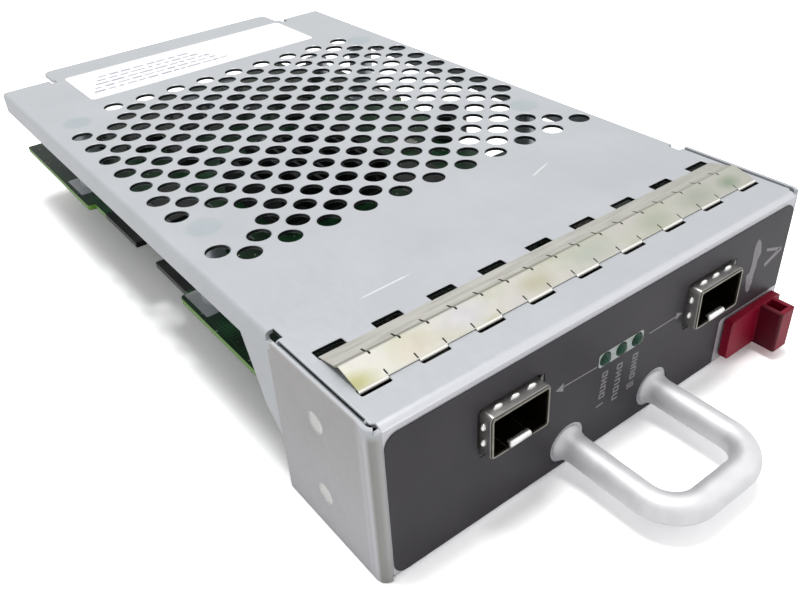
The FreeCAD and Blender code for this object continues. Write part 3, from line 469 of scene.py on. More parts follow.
FIELD_Y = 115.8
POST_HALF = HALF - 10.8
POST_YS = (80.6, DEPTH - 42.3)
POST_HEAD_D = 7.6
POST_SHIFT, POST_CLEAR = 2.5, 7.8
POST_NEAR, FLUSH_RIM = 4.5, 0.02
RIVET_Y = 19.0
RIVET_ZS = (9.5, 28.6)
RIVET_D = 3.2
STRIP_FRONT = 9.6
STRIP_DEPTH = 13.1
STRIP_X = 0.25
STRIP_PITCH = 13.55
STRIP_TAB = 6.7
STRIP_COUNT = 9
strip_xs = STRIP_X + (np.arange(STRIP_COUNT) - (STRIP_COUNT - 1) / 2) * STRIP_PITCH
posts = [(x, y) for x in (-POST_HALF, POST_HALF) for y in POST_YS]
print("body depth %.1f, posts at %s" % (DEPTH, posts))


# %% The perforated field
def field_holes():
    """Staggered grid: odd columns have one more hole and sit half a pitch out of step. Holes
    nearer to a post than POST_CLEAR are left out."""
    column, row = np.meshgrid(np.arange(HOLE_COLUMNS), np.arange(HOLE_ROWS), indexing="ij")
    odd = column % 2
    x = FIELD_X + (column - (HOLE_COLUMNS - 1) / 2) * PITCH / 2
    y = FIELD_Y + ((HOLE_ROWS - 2 + odd) / 2 - row) * PITCH
    keep = row < HOLE_ROWS - 1 + odd
    for px, py in posts:
        keep &= np.hypot(x - px - POST_SHIFT, y - py) > POST_CLEAR
    return np.stack([x[keep], y[keep]], -1)


holes = field_holes()
print("perforations:", len(holes))

# %% Top, lips and tab
side_run = HEIGHT - EDGE_BEND - FLANGE_FOOT
top_line = bent_line((-FLANGE_OUT, FLANGE_FOOT), QUARTER, [
    (side_run, 0, 0), (0, EDGE_BEND, QUARTER), (2 * FLAT_HALF, 0, 0), (0, EDGE_BEND, QUARTER),
    (side_run, 0, 0)])
TOP_REACH = top_line[0][-1] / 2
BEND_RUN = EDGE_BEND * QUARTER


def fold_top(u, v, w):
    """u runs across the top and down both lips, v back, w out of the sheet; the tab at the back
    sinks by a smooth step of its depth."""
    place, normal = follow(top_line, u + TOP_REACH)
    step = np.clip((v - DEPTH + 0.5) / (TAB_SLOPE + 1), 0, 1)
    drop = TAB_DROP * step * step * (3 - 2 * step)
    return np.stack([place[:, 0] + w * normal[:, 0], v, place[:, 1] + w * normal[:, 1] - drop], -1)


def on_flange(z):
    """Distance from the middle of the top, over the bend, down to a height on the lip."""
    return FLAT_HALF + BEND_RUN + HEIGHT - EDGE_BEND - z


lip = on_flange(HEIGHT - LIP_DEPTH)
foot = on_flange(FLANGE_FOOT)
knee = on_flange(FLANGE_KNEE[1])
relief_x = TAB_HALF + 1.6
relief_y = DEPTH - 3.0
tab_turn = np.linspace(0, QUARTER, 6)
tab_corner = np.stack([TAB_HALF - TAB_CORNER + TAB_CORNER * np.cos(tab_turn),
                       TAB_END - TAB_CORNER + TAB_CORNER * np.sin(tab_turn)], -1)
right_side = np.array([(FRONT_HALF, TOP_BEND), (FRONT_HALF + CORNER_TONGUE, TOP_BEND + 0.6),
                       (FRONT_HALF + CORNER_TONGUE, FLANGE_START), (foot, FLANGE_START),
                       (foot, FLANGE_FOOT_END), (knee, FLANGE_KNEE[0]), (lip, FLANGE_TOP_Y),
                       (lip, DEPTH), (relief_x, DEPTH), (relief_x, relief_y),
                       (TAB_HALF, relief_y)])
right_side = np.concatenate([right_side, tab_corner])
top_outline = np.concatenate([right_side, (right_side * (-1, 1))[::-1]])

top_holes = [ring(x, y, HOLE_D / 2) for x, y in holes]
top_holes += [ring(x, y, POST_HEAD_D / 2, 40) for x, y in posts]
for x in strip_xs:
    a, b = x - STRIP_TAB / 2, x + STRIP_TAB / 2
    back = STRIP_FRONT + STRIP_DEPTH
    top_holes.append(frame_loop(a, b, STRIP_FRONT - 1.0, STRIP_FRONT + 1.0, 0.4, 4))
    top_holes.append(frame_loop(a, b, back - 1.0, back + 2.2, 0.4, 4))
for side in (-1, 1):
    for z in RIVET_ZS:
        top_holes.append(ring(side * on_flange(z), RIVET_Y, RIVET_D / 2, 20))
    a, b = sorted((side * (HALF - 3.1), side * on_flange(HEIGHT - 2.0)))
    top_holes.append(frame_loop(a, b, WALL_DEPTH - RELIEF / 2, WALL_DEPTH + RELIEF))
    a, b = sorted((side * (FLAT_HALF + SEAM_SLOT[0]), side * on_flange(HEIGHT - SEAM_SLOT[1])))
    top_holes.append(frame_loop(a, b, FLANGE_START + 0.6, WALL_DEPTH - RELIEF / 2 - 0.4))
top_holes.append(frame_loop(on_flange(TOOTH_SLOT_Z[1]), on_flange(TOOTH_SLOT_Z[0]),
                            *TOOTH_SLOT_Y))

bend_at = np.concatenate([[-0.2], np.linspace(0, BEND_RUN, CREASE_STEPS), [BEND_RUN + 0.2]])
bend_at += FLAT_HALF
top_creases = [((side * u, FLANGE_START - 2), (side * u, DEPTH + 2))
               for side in (-1, 1) for u in bend_at]
tab_at = np.linspace(-0.5, TAB_SLOPE + 0.5, 8) + DEPTH
top_creases += [((-TAB_HALF - 1, v), (TAB_HALF + 1, v)) for v in tab_at]


def front_seam(a, b):
    """Edges of the top that lie on the line where it meets the panel's upper bend."""
    return (np.abs(a[:, 1] - TOP_BEND) < 0.01) & (np.abs(b[:, 1] - TOP_BEND) < 0.01)


flush = [(x, y, POST_NEAR, FLUSH_RIM, FLUSH_RIM) for x, y in posts]
top_sheet = cut_sheet(top_outline, top_holes, top_creases, fold_top, SHEET, seam=front_seam,
                      wide=flush)
print("top sheet: %d faces" % len(top_sheet[1]))

# %% Panel, side walls and lower flange
PORT_XS = (-30.2, 30.2)
PORT_WINDOW = ((-8.6, 8.6), (18.9, 31.8))
LAMP_X, LAMP_Z = 1.05, 24.7
LAMP_WINDOW = (13.8, 3.5)
HANDLE_XS = (-13.6, 13.6)
HANDLE_Z = 7.3
HANDLE_HOLE_R = 2.05
STEM_SLOT = ((HALF - 20.8, HALF - 11.2), (4.7, 11.3))
WINDOW_PLAY = 0.05
WALL_RUN = WALL_DEPTH - CORNER_BEND
CORNER_RUN = CORNER_BEND * QUARTER
PANEL_TOP = HEIGHT - TOP_BEND
round_line = bent_line((-HALF, -WALL_DEPTH), QUARTER, [
    (WALL_RUN, 0, 0), (0, CORNER_BEND, QUARTER), (2 * FRONT_HALF, 0, 0),
    (0, CORNER_BEND, QUARTER), (WALL_RUN, 0, 0)])
up_line = bent_line((BASE_FLANGE, 0), math.pi, [
    (BASE_FLANGE - TOP_BEND, 0, 0), (0, TOP_BEND, QUARTER), (PANEL_TOP - TOP_BEND, 0, 0),
    (0, TOP_BEND, QUARTER)])
ROUND_REACH = round_line[0][-1] / 2
UP_START = BASE_FLANGE - TOP_BEND + TOP_BEND * QUARTER


def fold_panel(s, h, w):
    """s runs round the panel and both walls, h up the panel. Over the panel's own width the
    sheet also turns back at the top and at the bottom."""
    level, level_normal = follow(round_line, s + ROUND_REACH)
    upright, upright_normal = follow(up_line, h - TOP_BEND + UP_START)
    middle = (np.abs(s) <= FRONT_HALF)[:, None]
    wall = np.stack([level[:, 0] + w * level_normal[:, 0],
                     -level[:, 1] - w * level_normal[:, 1], h], -1)
    face = np.stack([s, upright[:, 0] + w * upright_normal[:, 0],
                     upright[:, 1] + w * upright_normal[:, 1]], -1)
    return np.where(middle, face, wall)


corner_end = FRONT_HALF + CORNER_BEND * math.acos(1 - CORNER_RELIEF / CORNER_BEND)
wall_end = FRONT_HALF + CORNER_RUN + WALL_RUN
notch_s = wall_end - RELIEF / 2
seam_h = PANEL_TOP + TOP_BEND * QUARTER
fold_h = TOP_BEND - TOP_BEND * QUARTER
flange_h = fold_h - (BASE_FLANGE - TOP_BEND)
flange_s = FRONT_HALF - BASE_FLANGE_MARGIN
right_panel = np.array([
    (flange_s, flange_h), (flange_s, fold_h), (FRONT_HALF - 0.15, fold_h),
    (FRONT_HALF - 0.15, TOP_BEND), (FRONT_HALF + 0.15, TOP_BEND), (FRONT_HALF + 0.15, 0),
    (wall_end, 0), (wall_end, HEIGHT - 2.0), (notch_s, HEIGHT - 2.0), (notch_s, HEIGHT),
    (corner_end, HEIGHT), (corner_end, HEIGHT - CORNER_DROP), (FRONT_HALF, HEIGHT - CORNER_RELIEF),
    (FRONT_HALF, seam_h)])
panel_outline = np.concatenate([right_panel, (right_panel * (-1, 1))[::-1]])

panel_holes = [frame_loop(x + PORT_WINDOW[0][0], x + PORT_WINDOW[0][1], *PORT_WINDOW[1], 1.0)
               for x in PORT_XS]
lamp_wide, lamp_tall = (size / 2 + WINDOW_PLAY for size in LAMP_WINDOW)
panel_holes.append(frame_loop(LAMP_X - lamp_wide, LAMP_X + lamp_wide,
                              LAMP_Z - lamp_tall, LAMP_Z + lamp_tall, 0.8))
panel_holes.append(frame_loop(*STEM_SLOT[0], *STEM_SLOT[1]))
panel_holes += [ring(x, HANDLE_Z, HANDLE_HOLE_R, 20) for x in HANDLE_XS]


def on_wall(y):
    """Distance from the middle of the panel, round the corner, to a depth on the side wall."""
    return FRONT_HALF + CORNER_RUN + y - CORNER_BEND


SEAT_NEAR = 4.5
SINK_REACH = 2.1
SINK_DEPTH = 0.7
seats = [(side * on_wall(RIVET_Y), z) for side in (-1, 1) for z in RIVET_ZS]
panel_holes += [ring(s, z, RIVET_D / 2, 28) for s, z in seats]
panel_holes.append(frame_loop(on_wall(TOOTH_SLOT_Y[0]), on_wall(TOOTH_SLOT_Y[1]),
                              *TOOTH_SLOT_Z))
turn_at = np.append(np.linspace(0, CORNER_RUN, CREASE_STEPS), CORNER_RUN + 0.2) + FRONT_HALF
panel_creases = [((side * s, -1), (side * s, HEIGHT + 1)) for side in (-1, 1) for s in turn_at]
up_at = np.concatenate([np.linspace(fold_h, TOP_BEND, CREASE_STEPS),
                        [TOP_BEND + 0.2, PANEL_TOP - 0.2],
                        np.linspace(PANEL_TOP, seam_h, CREASE_STEPS)[:-1]])
panel_creases += [((-FRONT_HALF, h), (FRONT_HALF, h)) for h in up_at]


def panel_seam(a, b):
    """Edges of the panel that lie on the line where its upper bend meets the top."""
    return (np.abs(a[:, 1] - seam_h) < 0.01) & (np.abs(b[:, 1] - seam_h) < 0.01)


sunk = [(s, z, SEAT_NEAR, SINK_REACH, SINK_DEPTH) for s, z in seats]
panel_sheet = cut_sheet(panel_outline, panel_holes, panel_creases, fold_panel, SHEET,
                        seam=panel_seam, wide=sunk)
piece("carrier_sheet", join([top_sheet, panel_sheet]),
      stands_for=["carrier_housing"])

# %% [markdown]
# ## The finger strip
# A grounding strip of thin spring alloy stands over the front of the top like a low tent. Its
# tabs turn down through slots and hook under the sheet. Short slits start at the corners of
# each tab, and a short slot lies on the ridge above each, so that the fingers can flex. It is
# cut flat and folded by `cut_sheet` as well, along a line with its corners rounded.

# %% Finger strip
# STRIP_RIDGE is (y, height over the top), STRIP_STEP how far the step behind the ridge runs and
# drops; SLIT and RIDGE_SLOT are (width, length).
STRIP_SHEET = 0.25
STRIP_BEVEL = 0.05
TAB_PLAY = 0.1
EDGE_STATION = 5
EDGE_SETBACK = 0.15
STRIP_RIDGE = (15.9, 1.8)
STRIP_STEP = (0.9, 0.55)
FOLD_R = 0.45
HOOK_DROP = 1.0
HOOK_LEAN = 0.5
SLIT = (0.32, 1.4)
RIDGE_SLOT = (0.45, 3.2)
RIDGE_SLOT_START = -0.6


def fold_moves(corners, radius):
    """Runs and turns of a line through corners, each rounded by an arc of the given radius."""
    corners = np.array(corners, float)
    runs = np.diff(corners, axis=0)
    lengths = np.hypot(runs[:, 0], runs[:, 1])
    angles = np.arctan2(runs[:, 1], runs[:, 0])
    turns = angles[:-1] - angles[1:]
    cut = np.concatenate([[0], radius * np.abs(np.tan(turns / 2)), [0]])
    moves = []
    for n, length in enumerate(lengths):
        moves.append((length - cut[n] - cut[n + 1], 0, 0))
        if n < len(turns):
            moves.append((0, math.copysign(radius, turns[n]), turns[n]))
    return angles[0], moves


strip_back = STRIP_FRONT + STRIP_DEPTH
strip_corners = [(STRIP_FRONT + HOOK_LEAN, HEIGHT - HOOK_DROP), (STRIP_FRONT, HEIGHT),
                 (STRIP_RIDGE[0], HEIGHT + STRIP_RIDGE[1]),
                 (STRIP_RIDGE[0] + STRIP_STEP[0], HEIGHT + STRIP_RIDGE[1] - STRIP_STEP[1]),
                 (strip_back, HEIGHT), (strip_back - HOOK_LEAN, HEIGHT - HOOK_DROP)]
strip_heading, strip_moves = fold_moves(strip_corners, FOLD_R)
strip_line = bent_line(strip_corners[0], strip_heading, strip_moves, steps=5)
strip_run = strip_line[0][-1]
edge_v = strip_line[0][EDGE_STATION] - EDGE_SETBACK
ridge_v = np.interp(STRIP_RIDGE[0], strip_line[1][:, 0], strip_line[0])
print("strip: profile %.2f long, ridge at %.2f" % (strip_run, ridge_v))


def fold_strip(u, v, w):
    """u runs along the strip, v over its tent-shaped profile, w out of the sheet."""
    place, normal = follow(strip_line, v)
    out = place + (w[:, None] + STRIP_SHEET) * normal
    return np.stack([u, out[:, 0], out[:, 1]], -1)


def strip_outline():
    """Comb on both long edges: between the tabs the edge stops where the profile turns down."""
    low, high = edge_v, strip_run - edge_v
    front, rear = [], []
    for x in strip_xs:
        a, b = x - STRIP_TAB / 2 + TAB_PLAY, x + STRIP_TAB / 2 - TAB_PLAY
        front += [(a, low), (a, 0.0), (b, 0.0), (b, low)]
        rear += [(a, high), (a, strip_run), (b, strip_run), (b, high)]
    front, rear = np.array(front), np.array(rear)
    return np.concatenate([front[1:-1], rear[1:-1][::-1]])


inner_edges = np.concatenate([strip_xs[1:] - STRIP_TAB / 2, strip_xs[:-1] + STRIP_TAB / 2])
slit_x, slot_x = SLIT[0] / 2, RIDGE_SLOT[0] / 2
slit_v = edge_v + EDGE_SETBACK
slot_v = ridge_v + RIDGE_SLOT_START
strip_holes = [frame_loop(x - slit_x, x + slit_x, slit_v, slit_v + SLIT[1], 0.15, 3)
               for x in inner_edges]
strip_holes += [frame_loop(x - slot_x, x + slot_x, slot_v, slot_v + RIDGE_SLOT[1], 0.2, 4)
                for x in inner_edges]
strip_creases = [((-HALF, v), (HALF, v)) for v in strip_line[0][1:-1]]
piece("grounding_strip",
      cut_sheet(strip_outline(), strip_holes, strip_creases, fold_strip, STRIP_SHEET,
                bevel=STRIP_BEVEL),
      stands_for=["finger_strip"])

# %% [markdown]
# ## The pull handle
# A round bar is bent to a U, and each end opens into a trumpet foot against the panel. A tube
# along a line does it: circles stand across the line, and their radius grows near the ends.

# %% Pull handle
BAR_R = 3.25
BAR_STEP = 0.3
HANDLE_REACH = 28.2
HANDLE_BEND = 8.0
FLARE_R = 4.2
FLARE_LENGTH = 3.6
FLARE_RIM = 0.45
FLARE_BEVEL = 0.12


def tube(line, radius, z, columns=40):
    """Circles across a level line: point + radius * (cos * normal + sin * up), with end caps."""
    _, points, normals = line
    turn = np.arange(columns) * 2 * math.pi / columns
    side = np.cos(turn)[None, :, None] * normals[:, None, :] * radius[:, None, None]
    up = np.sin(turn)[None, :] * radius[:, None]
    flat = points[:, None, :] + side
    grid = np.concatenate([flat, (z + up)[:, :, None]], -1).reshape(-1, 3)
    faces = grid_faces(len(points), columns, round_columns=True)
    last = (len(points) - 1) * columns
    faces.append(list(range(columns))[::-1])
    faces.append(list(range(last, last + columns)))
    return grid, faces


def densify(line, step):
    """The same line with stations no further apart than step."""
    lengths = line[0]
    fine = np.unique(np.concatenate([lengths, np.arange(0, lengths[-1], step)]).round(5))
    points, normals = follow(line, fine)
    normals /= np.linalg.norm(normals, axis=1)[:, None]
    return fine, points, normals


arm = HANDLE_REACH - HANDLE_BEND
across = HANDLE_XS[1] - HANDLE_XS[0] - 2 * HANDLE_BEND
bar_line = bent_line((HANDLE_XS[0], 0), -QUARTER, [
    (arm, 0, 0), (0, -HANDLE_BEND, -QUARTER), (across, 0, 0), (0, -HANDLE_BEND, -QUARTER),
    (arm, 0, 0)], steps=15)
bar_line = densify(bar_line, BAR_STEP)
near_end = np.minimum(bar_line[0], bar_line[0][-1] - bar_line[0])
open_out = np.clip(1 - (near_end - FLARE_RIM) / FLARE_LENGTH, 0, 1) ** 3.0
bar_radius = BAR_R + (FLARE_R - BAR_R) * open_out - FLARE_BEVEL * (near_end < 0.01)
piece("bent_handle", tube(bar_line, bar_radius, HANDLE_Z),
      stands_for=["pull_handle"])

# %% [markdown]
# ## The latch's spring
# A strip of spring steel, folded to and fro, pushes the latch out to its catch. In the real
# latch one end stands against the guide and the other stays on the slide, so the folds close
# up as the latch moves. Here the strip is built once, in one shape, and rides on the carrier.

# %% Folded spring
SPRING_SHEET = 0.4
SPRING_FOLDS = 6
SPRING_BEND = 0.45
SPRING_SWING = 3.2
SPRING_INSET = 0.25


def strip_on_edge(line, thick, low_z, high_z):
    """A strip that stands on edge: point -/+ half the thickness along the normal, two heights."""
    _, points, normals = line
    near, far = points + normals * thick / 2, points - normals * thick / 2
    rows = [np.insert(side, 2, z, axis=1)
            for side, z in ((near, low_z), (near, high_z), (far, high_z), (far, low_z))]
    faces = grid_faces(len(points), 4, round_columns=True)
    last = (len(points) - 1) * 4
    faces += [[3, 2, 1, 0], [last, last + 1, last + 2, last + 3]]
    return np.stack(rows, 1).reshape(-1, 3), faces


spring_low, spring_high = span("latch_spring")
fold_x = np.linspace(spring_low[0] + SPRING_INSET, spring_high[0] - SPRING_INSET,
                     SPRING_FOLDS + 1)
swing = np.where(np.arange(SPRING_FOLDS + 1) % 2, 1, -1) * SPRING_SWING
fold_y = (spring_low[1] + spring_high[1]) / 2 + swing
fold_y[[0, -1]] = spring_low[1] + SPRING_INSET
heading, moves = fold_moves(np.stack([fold_x, fold_y], -1), SPRING_BEND)
spring_line = bent_line((fold_x[0], fold_y[0]), heading, moves)
spring = piece("folded_spring",
               strip_on_edge(spring_line, SPRING_SHEET, spring_low[2], spring_high[2]),
               stands_for=["latch_spring"])
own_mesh(spring)

# %% [markdown]
# ## Lamps
# Each lamp is a small round lens with a domed tip. A profile turned about its own axis gives
# it, with the dome as a quarter of an ellipse.

# %% Status lamps
LAMP_R = 1.68
LAMP_TIP = 1.15
LAMP_DOME = 1.35
LAMP_BACK = 6.0
LAMP_PITCH = 4.9

round_over = np.linspace(0, QUARTER, 10)
lamp_depths = -LAMP_TIP + LAMP_DOME * (1 - np.cos(round_over))
lamp_profile = list(zip(LAMP_R * np.sin(round_over), lamp_depths))
lamp_profile += [(LAMP_R, 1.0), (LAMP_R, LAMP_BACK - 0.1), (0, LAMP_BACK)]
for n in range(3):
    x = LAMP_X + (n - 1) * LAMP_PITCH
    piece("lamp_lens_%d" % (n + 1), turned_piece(lamp_profile, (x, 0, LAMP_Z)),
          stands_for=["status_lamp_%d" % (n + 1)], smooth=40)

# %% [markdown]
# ## Port collars
# A spring collar stands round each cage's mouth: a thin band with pressed bumps that touch the
# panel. The band is one small profile carried round the cage. Each point of the profile is a
# distance from the cage, so the rounded rectangle is only moved out by it. A bump is half an
# ellipsoid. A ramp lies in the mouth's lower edge and guides what is pushed in; the ramps and
# the bumps are painted near white as a highlight.

# %% Port collars
# Each bump is (half its width, half its depth, height).
CAGE_HALF = 7.4
CAGE_ZS = (20.1, 30.0)
COLLAR_SHEET = 0.3
BUMP_Y = -1.0
TOP_BUMP = (1.2, 0.5, 0.8)
SIDE_BUMP = (0.85, 0.5, 0.8)
RAMP_HALF = 2.45
RAMP_R = 0.8
RAMP_Y = -2.5
CAGE_MOUTH = span("port_cage_left")[0][1]


def carried_round(loop, profile):
    """Closed tube: the profile's point (depth, out) is the loop moved out, at that depth."""
    grid = np.stack([np.insert(moved_loop(loop, out), 1, y, axis=1) for y, out in profile])
    return grid.reshape(-1, 3), grid_faces(len(profile), len(loop), True, True)


def collar(x):
    """Band round the cage, and one thin finger that stands up at the upper right corner."""
    low, high = CAGE_ZS
    loop = frame_loop(x - CAGE_HALF, x + CAGE_HALF, low, high, 0.8, 5)
    c = COLLAR_SHEET
    front = min(CAGE_MOUTH + 0.25, -2.2)
    band = [(2.3, 0.04), (2.3, c), (front + 0.2, c), (front + 0.06, c - 0.05),
            (front, c - 0.13), (front + 0.06, 0.05), (front + 0.15, 0.04)]
    parts = [carried_round(loop, band)]
    finger = np.array([(x + 6.5, high), (x + 7.3, high),
                       (x + 7.25, high + 1.3), (x + 7.05, high + 1.3)])
    parts.append(plate(finger, lambda u, v, w: np.stack([u, -0.9 - w, v], -1), 0.25))
    return join(parts)


def bumps(x):
    """The pressed bumps: three on the band, two down each side and two below it."""
    (low, high), out, back = CAGE_ZS, COLLAR_SHEET - 0.05, (0, 1, 0)
    parts = [dome((x + 4.3 * n, BUMP_Y, high + out), (1, 0, 0), back, (0, 0, 1), TOP_BUMP)
             for n in (-1, 0, 1)]
    for share in (0.33, 0.73):
        z = low + share * (high - low)
        parts += [dome((x + side * (CAGE_HALF + out), BUMP_Y, z), (0, 0, -side), back,
                       (side, 0, 0), SIDE_BUMP) for side in (-1, 1)]
    parts += [dome((x + side * 5.2, BUMP_Y, low - out), (-1, 0, 0), back, (0, 0, -1), TOP_BUMP)
              for side in (-1, 1)]
    return join(parts)


def ramp_bar(x):
    """Round bar across the mouth; each end is a quarter of a flat ellipse, turned about X."""
    turn = np.linspace(0, QUARTER, 6)
    end = [(RAMP_R * math.sin(t), -RAMP_HALF - RAMP_R * 0.4 * math.cos(t)) for t in turn]
    profile = end + [(r, -d) for r, d in end[::-1]]
    return turned_piece(profile, (x, RAMP_Y, CAGE_ZS[0] + RAMP_R), "x", 20)


for side, x in zip(("left", "right"), PORT_XS):
    piece("spring_collar_" + side, collar(x),
          stands_for=["cage_collar_" + side], smooth=40)
    piece("collar_bumps_" + side, bumps(x), smooth=50)
    piece("mouth_ramp_" + side, ramp_bar(x), smooth=50)

# %% [markdown]
# ## Rivets in the side walls
# Each rivet was pressed into a conical seat and has an uneven head that glints. A turned
# profile gives the head, and the finish adds its unevenness.

# %% Side rivets
# Pairs of (radius, depth into the wall), from the middle of the head to the end of the shank.
rivet_side = [(0, 0.14), (0.7, 0.16), (1.5, 0.24), (2.2, 0.4), (2.45, 0.62), (1.55, 0.72),
              (1.5, 2.0), (0, 2.05)]
rivet_parts = []
for side, order in ((-1, 1), (1, -1)):
    profile = [(r, -side * d) for r, d in rivet_side][::order]
    rivet_parts += [turned_piece(profile, (side * HALF, RIVET_Y, z), "x", 28) for z in RIVET_ZS]
piece("pressed_rivets", join(rivet_parts), stands_for=["wall_rivets"])

# %% [markdown]
# ## Print
# Light print stands on the dark film: an arrow from the lamps to each port, a slanted blade and
# a chevron at the right, and under each lamp a turned column of blocky signs that ends in a
# simple figure. On the label, short bars stand in five rows. Ink has hardly any height, so each
# stroke is a plate 0.02 mm thick, which needs no picture and stays sharp at any distance.

# %% Print on the film and on the label
FILM_FRONT = -0.25
INK = 0.02
STROKE = 0.45
JOINS = ((-1, 1), (0,), (1,), (-1, 1), (-1,))
label_low, label_high = span("product_label")


def on_film(u, v, w):
    """u across the panel, v up, w out of it."""
    return np.stack([u, FILM_FRONT - INK - w, v], -1)


def on_label(u, v, w):
    """u across the label, v back, w up from it."""
    return np.stack([u, v, label_high[2] + INK + w], -1)


def bar(x0, z0, x1, z1, wide):
    """Straight stroke of a given width between two points."""
    a, b = np.array((x0, z0), float), np.array((x1, z1), float)
    along = (b - a) / np.linalg.norm(b - a)
    side = np.array((-along[1], along[0])) * wide / 2
    return np.array([a - side, b - side, b + side, a + side])


def sign_column(x0, z0, x1, z1, count, wide=1.8):
    """A column of blocky signs: two strokes across and joins at one end, both ends or between."""
    tall = abs(z1 - z0) / count
    strokes = []
    for n in range(count):
        share = (n + 0.5) / count
        x, z = x0 + (x1 - x0) * share, z0 + (z1 - z0) * share
        half, high = wide / 2, tall * 0.28
        strokes += [bar(x - half, z + k * high, x + half, z + k * high, STROKE) for k in (-1, 1)]
        strokes += [bar(x + k * (half - 0.2), z - high, x + k * (half - 0.2), z + high, STROKE)
                    for k in JOINS[n]]
    return strokes


ink = [bar(-16.0, 24.1, -6.3, 23.8, 0.3), np.array([(-18.3, 24.1), (-16.1, 22.9), (-16.1, 25.1)]),
       bar(9.9, 24.2, 18.8, 24.3, 0.3), np.array([(20.9, 24.3), (18.8, 25.3), (18.8, 23.4)])]
for column in ((-3.4, 21.3, -3.9, 13.8, 4), (1.2, 21.1, 0.5, 10.8, 5), (6.1, 21.1, 5.8, 13.9, 4)):
    ink += sign_column(*column)
ink += [bar(-5.3, 12.15, -3.2, 12.3, 0.4), bar(4.4, 13.0, 6.6, 13.0, 0.3),
        bar(4.4, 11.8, 6.6, 11.8, 0.3), bar(4.5, 13.0, 4.5, 12.4, 0.3),
        bar(6.5, 12.4, 6.5, 11.8, 0.3), bar(4.4, 12.4, 6.6, 12.4, 0.3)]
piece("panel_print", join([plate(shape, on_film, INK) for shape in ink]))
blade = [(46.9, 32.5), (46.0, 32.0), (45.7, 30.6), (45.7, 28.5), (45.9, 26.3), (45.6, 24.0),
         (44.5, 23.4), (45.4, 19.2), (46.2, 18.0), (47.1, 18.2), (47.6, 20.0), (47.6, 22.8),
         (48.0, 24.4), (48.0, 26.4), (48.9, 28.0), (48.0, 31.2)]
marks = [np.array(blade), bar(51.2, 27.8, 57.0, 25.8, 0.8), bar(57.8, 25.7, 51.6, 23.3, 1.3)]
piece("panel_marks", join([plate(shape, on_film, INK) for shape in marks]))
rng = np.random.default_rng(7)
ticks = []
for row, y in enumerate((183.2, 186.4, 189.6, 192.8, 196.0)):
    x = label_low[0] + 3.0 + 1.5 * row
    while x < 10 - 3 * row:
        long = rng.uniform(1.5, 5.0)
        ticks.append(bar(x, y, x + long, y, rng.uniform(0.7, 1.3)))
        x += long + rng.uniform(0.5, 1.4)
piece("label_print", join([plate(shape, on_label, INK) for shape in ticks]))

# %% [markdown]
# ## On the circuit board
# The board carries what a populated board has: tinned squares under the posts, small chip
# parts with tinned ends, and bent leads along the packages. They are many and tiny, so each is
# a plain shape of a few faces, laid out by seeded chance where nothing else stands.

# %% Tinned pads, chip parts and leads
BOARD_UNDER, BOARD_TOP = (corner[2] for corner in span("main_board"))
PAD = 12.4
PAD_THICK = 0.04
PART_GRID = 3.6
PART_CLEAR = 2.6
POST_KEEP_OUT = 10


def on_board(u, v, w):
    """u across the board, v back, w up from the pads' upper side."""
    return np.stack([u, v, BOARD_TOP + PAD_THICK + w], -1)


pads = [cut_sheet(frame_loop(x - PAD / 2, x + PAD / 2, y - PAD / 2, y + PAD / 2, 0.5, 4),
                  [ring(x, y, 2.4, 20)], np.zeros((0, 2, 2)), on_board, PAD_THICK, bevel=0.01)
        for x, y in posts]
piece("post_pads", join(pads))


def boxes(low, high):
    """Many boxes as one surface, from arrays of their lowest and highest corners."""
    corner = np.array([(0, 0, 0), (1, 0, 0), (1, 1, 0), (0, 1, 0),
                       (0, 0, 1), (1, 0, 1), (1, 1, 1), (0, 1, 1)])
    points = low[:, None, :] + corner * (high - low)[:, None, :]
    sides = np.array([(0, 3, 2, 1), (4, 5, 6, 7), (0, 1, 5, 4),
                      (1, 2, 6, 5), (2, 3, 7, 6), (3, 0, 4, 7)])
    faces = (sides + 8 * np.arange(len(low))[:, None, None]).reshape(-1, 4)
    return points.reshape(-1, 3), faces.tolist()


def free_places(count, tall, under):
    """Random places on one side of the board that keep clear of every node there."""
    tries = np.stack([rng.uniform(-50, 50, 4000), rng.uniform(52, 196, 4000)], -1)
    z = BOARD_UNDER - tall / 2 if under else BOARD_TOP + tall / 2
    keep = np.ones(len(tries), bool)
    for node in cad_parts:
        low, high = span(node)
        if node in ("carrier_housing", "main_board", "board_standoffs") or not low[2] < z < high[2]:
            continue
        near = (tries > low[:2] - PART_CLEAR) & (tries < high[:2] + PART_CLEAR)
        keep &= ~near.all(1)
    for x, y in posts:
        keep &= np.hypot(tries[:, 0] - x, tries[:, 1] - y) > POST_KEEP_OUT
    places = np.unique(np.round(tries[keep] / PART_GRID) * PART_GRID, axis=0)
    return places[rng.permutation(len(places))][:count]


def chip_parts(name, count, under):
    """Chip parts: a body between two tinned ends that are a little taller, along or across."""
    at = free_places(count, 0.9, under)
    turned_part = rng.random(len(at)) < 0.5
    half = np.where(turned_part[:, None], (0.45, 0.85), (0.85, 0.45))
    half = half * rng.uniform(0.8, 1.15, (len(at), 1))
    tall = rng.uniform(0.4, 0.8, len(at))
    base = BOARD_UNDER - tall if under else np.full(len(at), BOARD_TOP)
    axis = np.where(turned_part[:, None], (0, 1), (1, 0))
    body_half = half - axis * 0.25
    low = np.concatenate([at - body_half, base[:, None]], 1)
    high = np.concatenate([at + body_half, (base + tall)[:, None]], 1)
    bodies = boxes(low, high)
    lift, ends = 0.02, []
    floor_z, roof_z = base - lift * under, base + tall + lift * (not under)
    for side in (-1, 1):
        middle = at + side * axis * (half - 0.15)
        cap = np.where(axis > 0, 0.17, half + 0.03)
        ends.append(boxes(np.concatenate([middle - cap, floor_z[:, None]], 1),
                          np.concatenate([middle + cap, roof_z[:, None]], 1)))
    piece(name + "_bodies", bodies)
    piece(name + "_ends", join(ends))


chip_parts("upper_parts", 120, False)
chip_parts("lower_parts", 60, True)


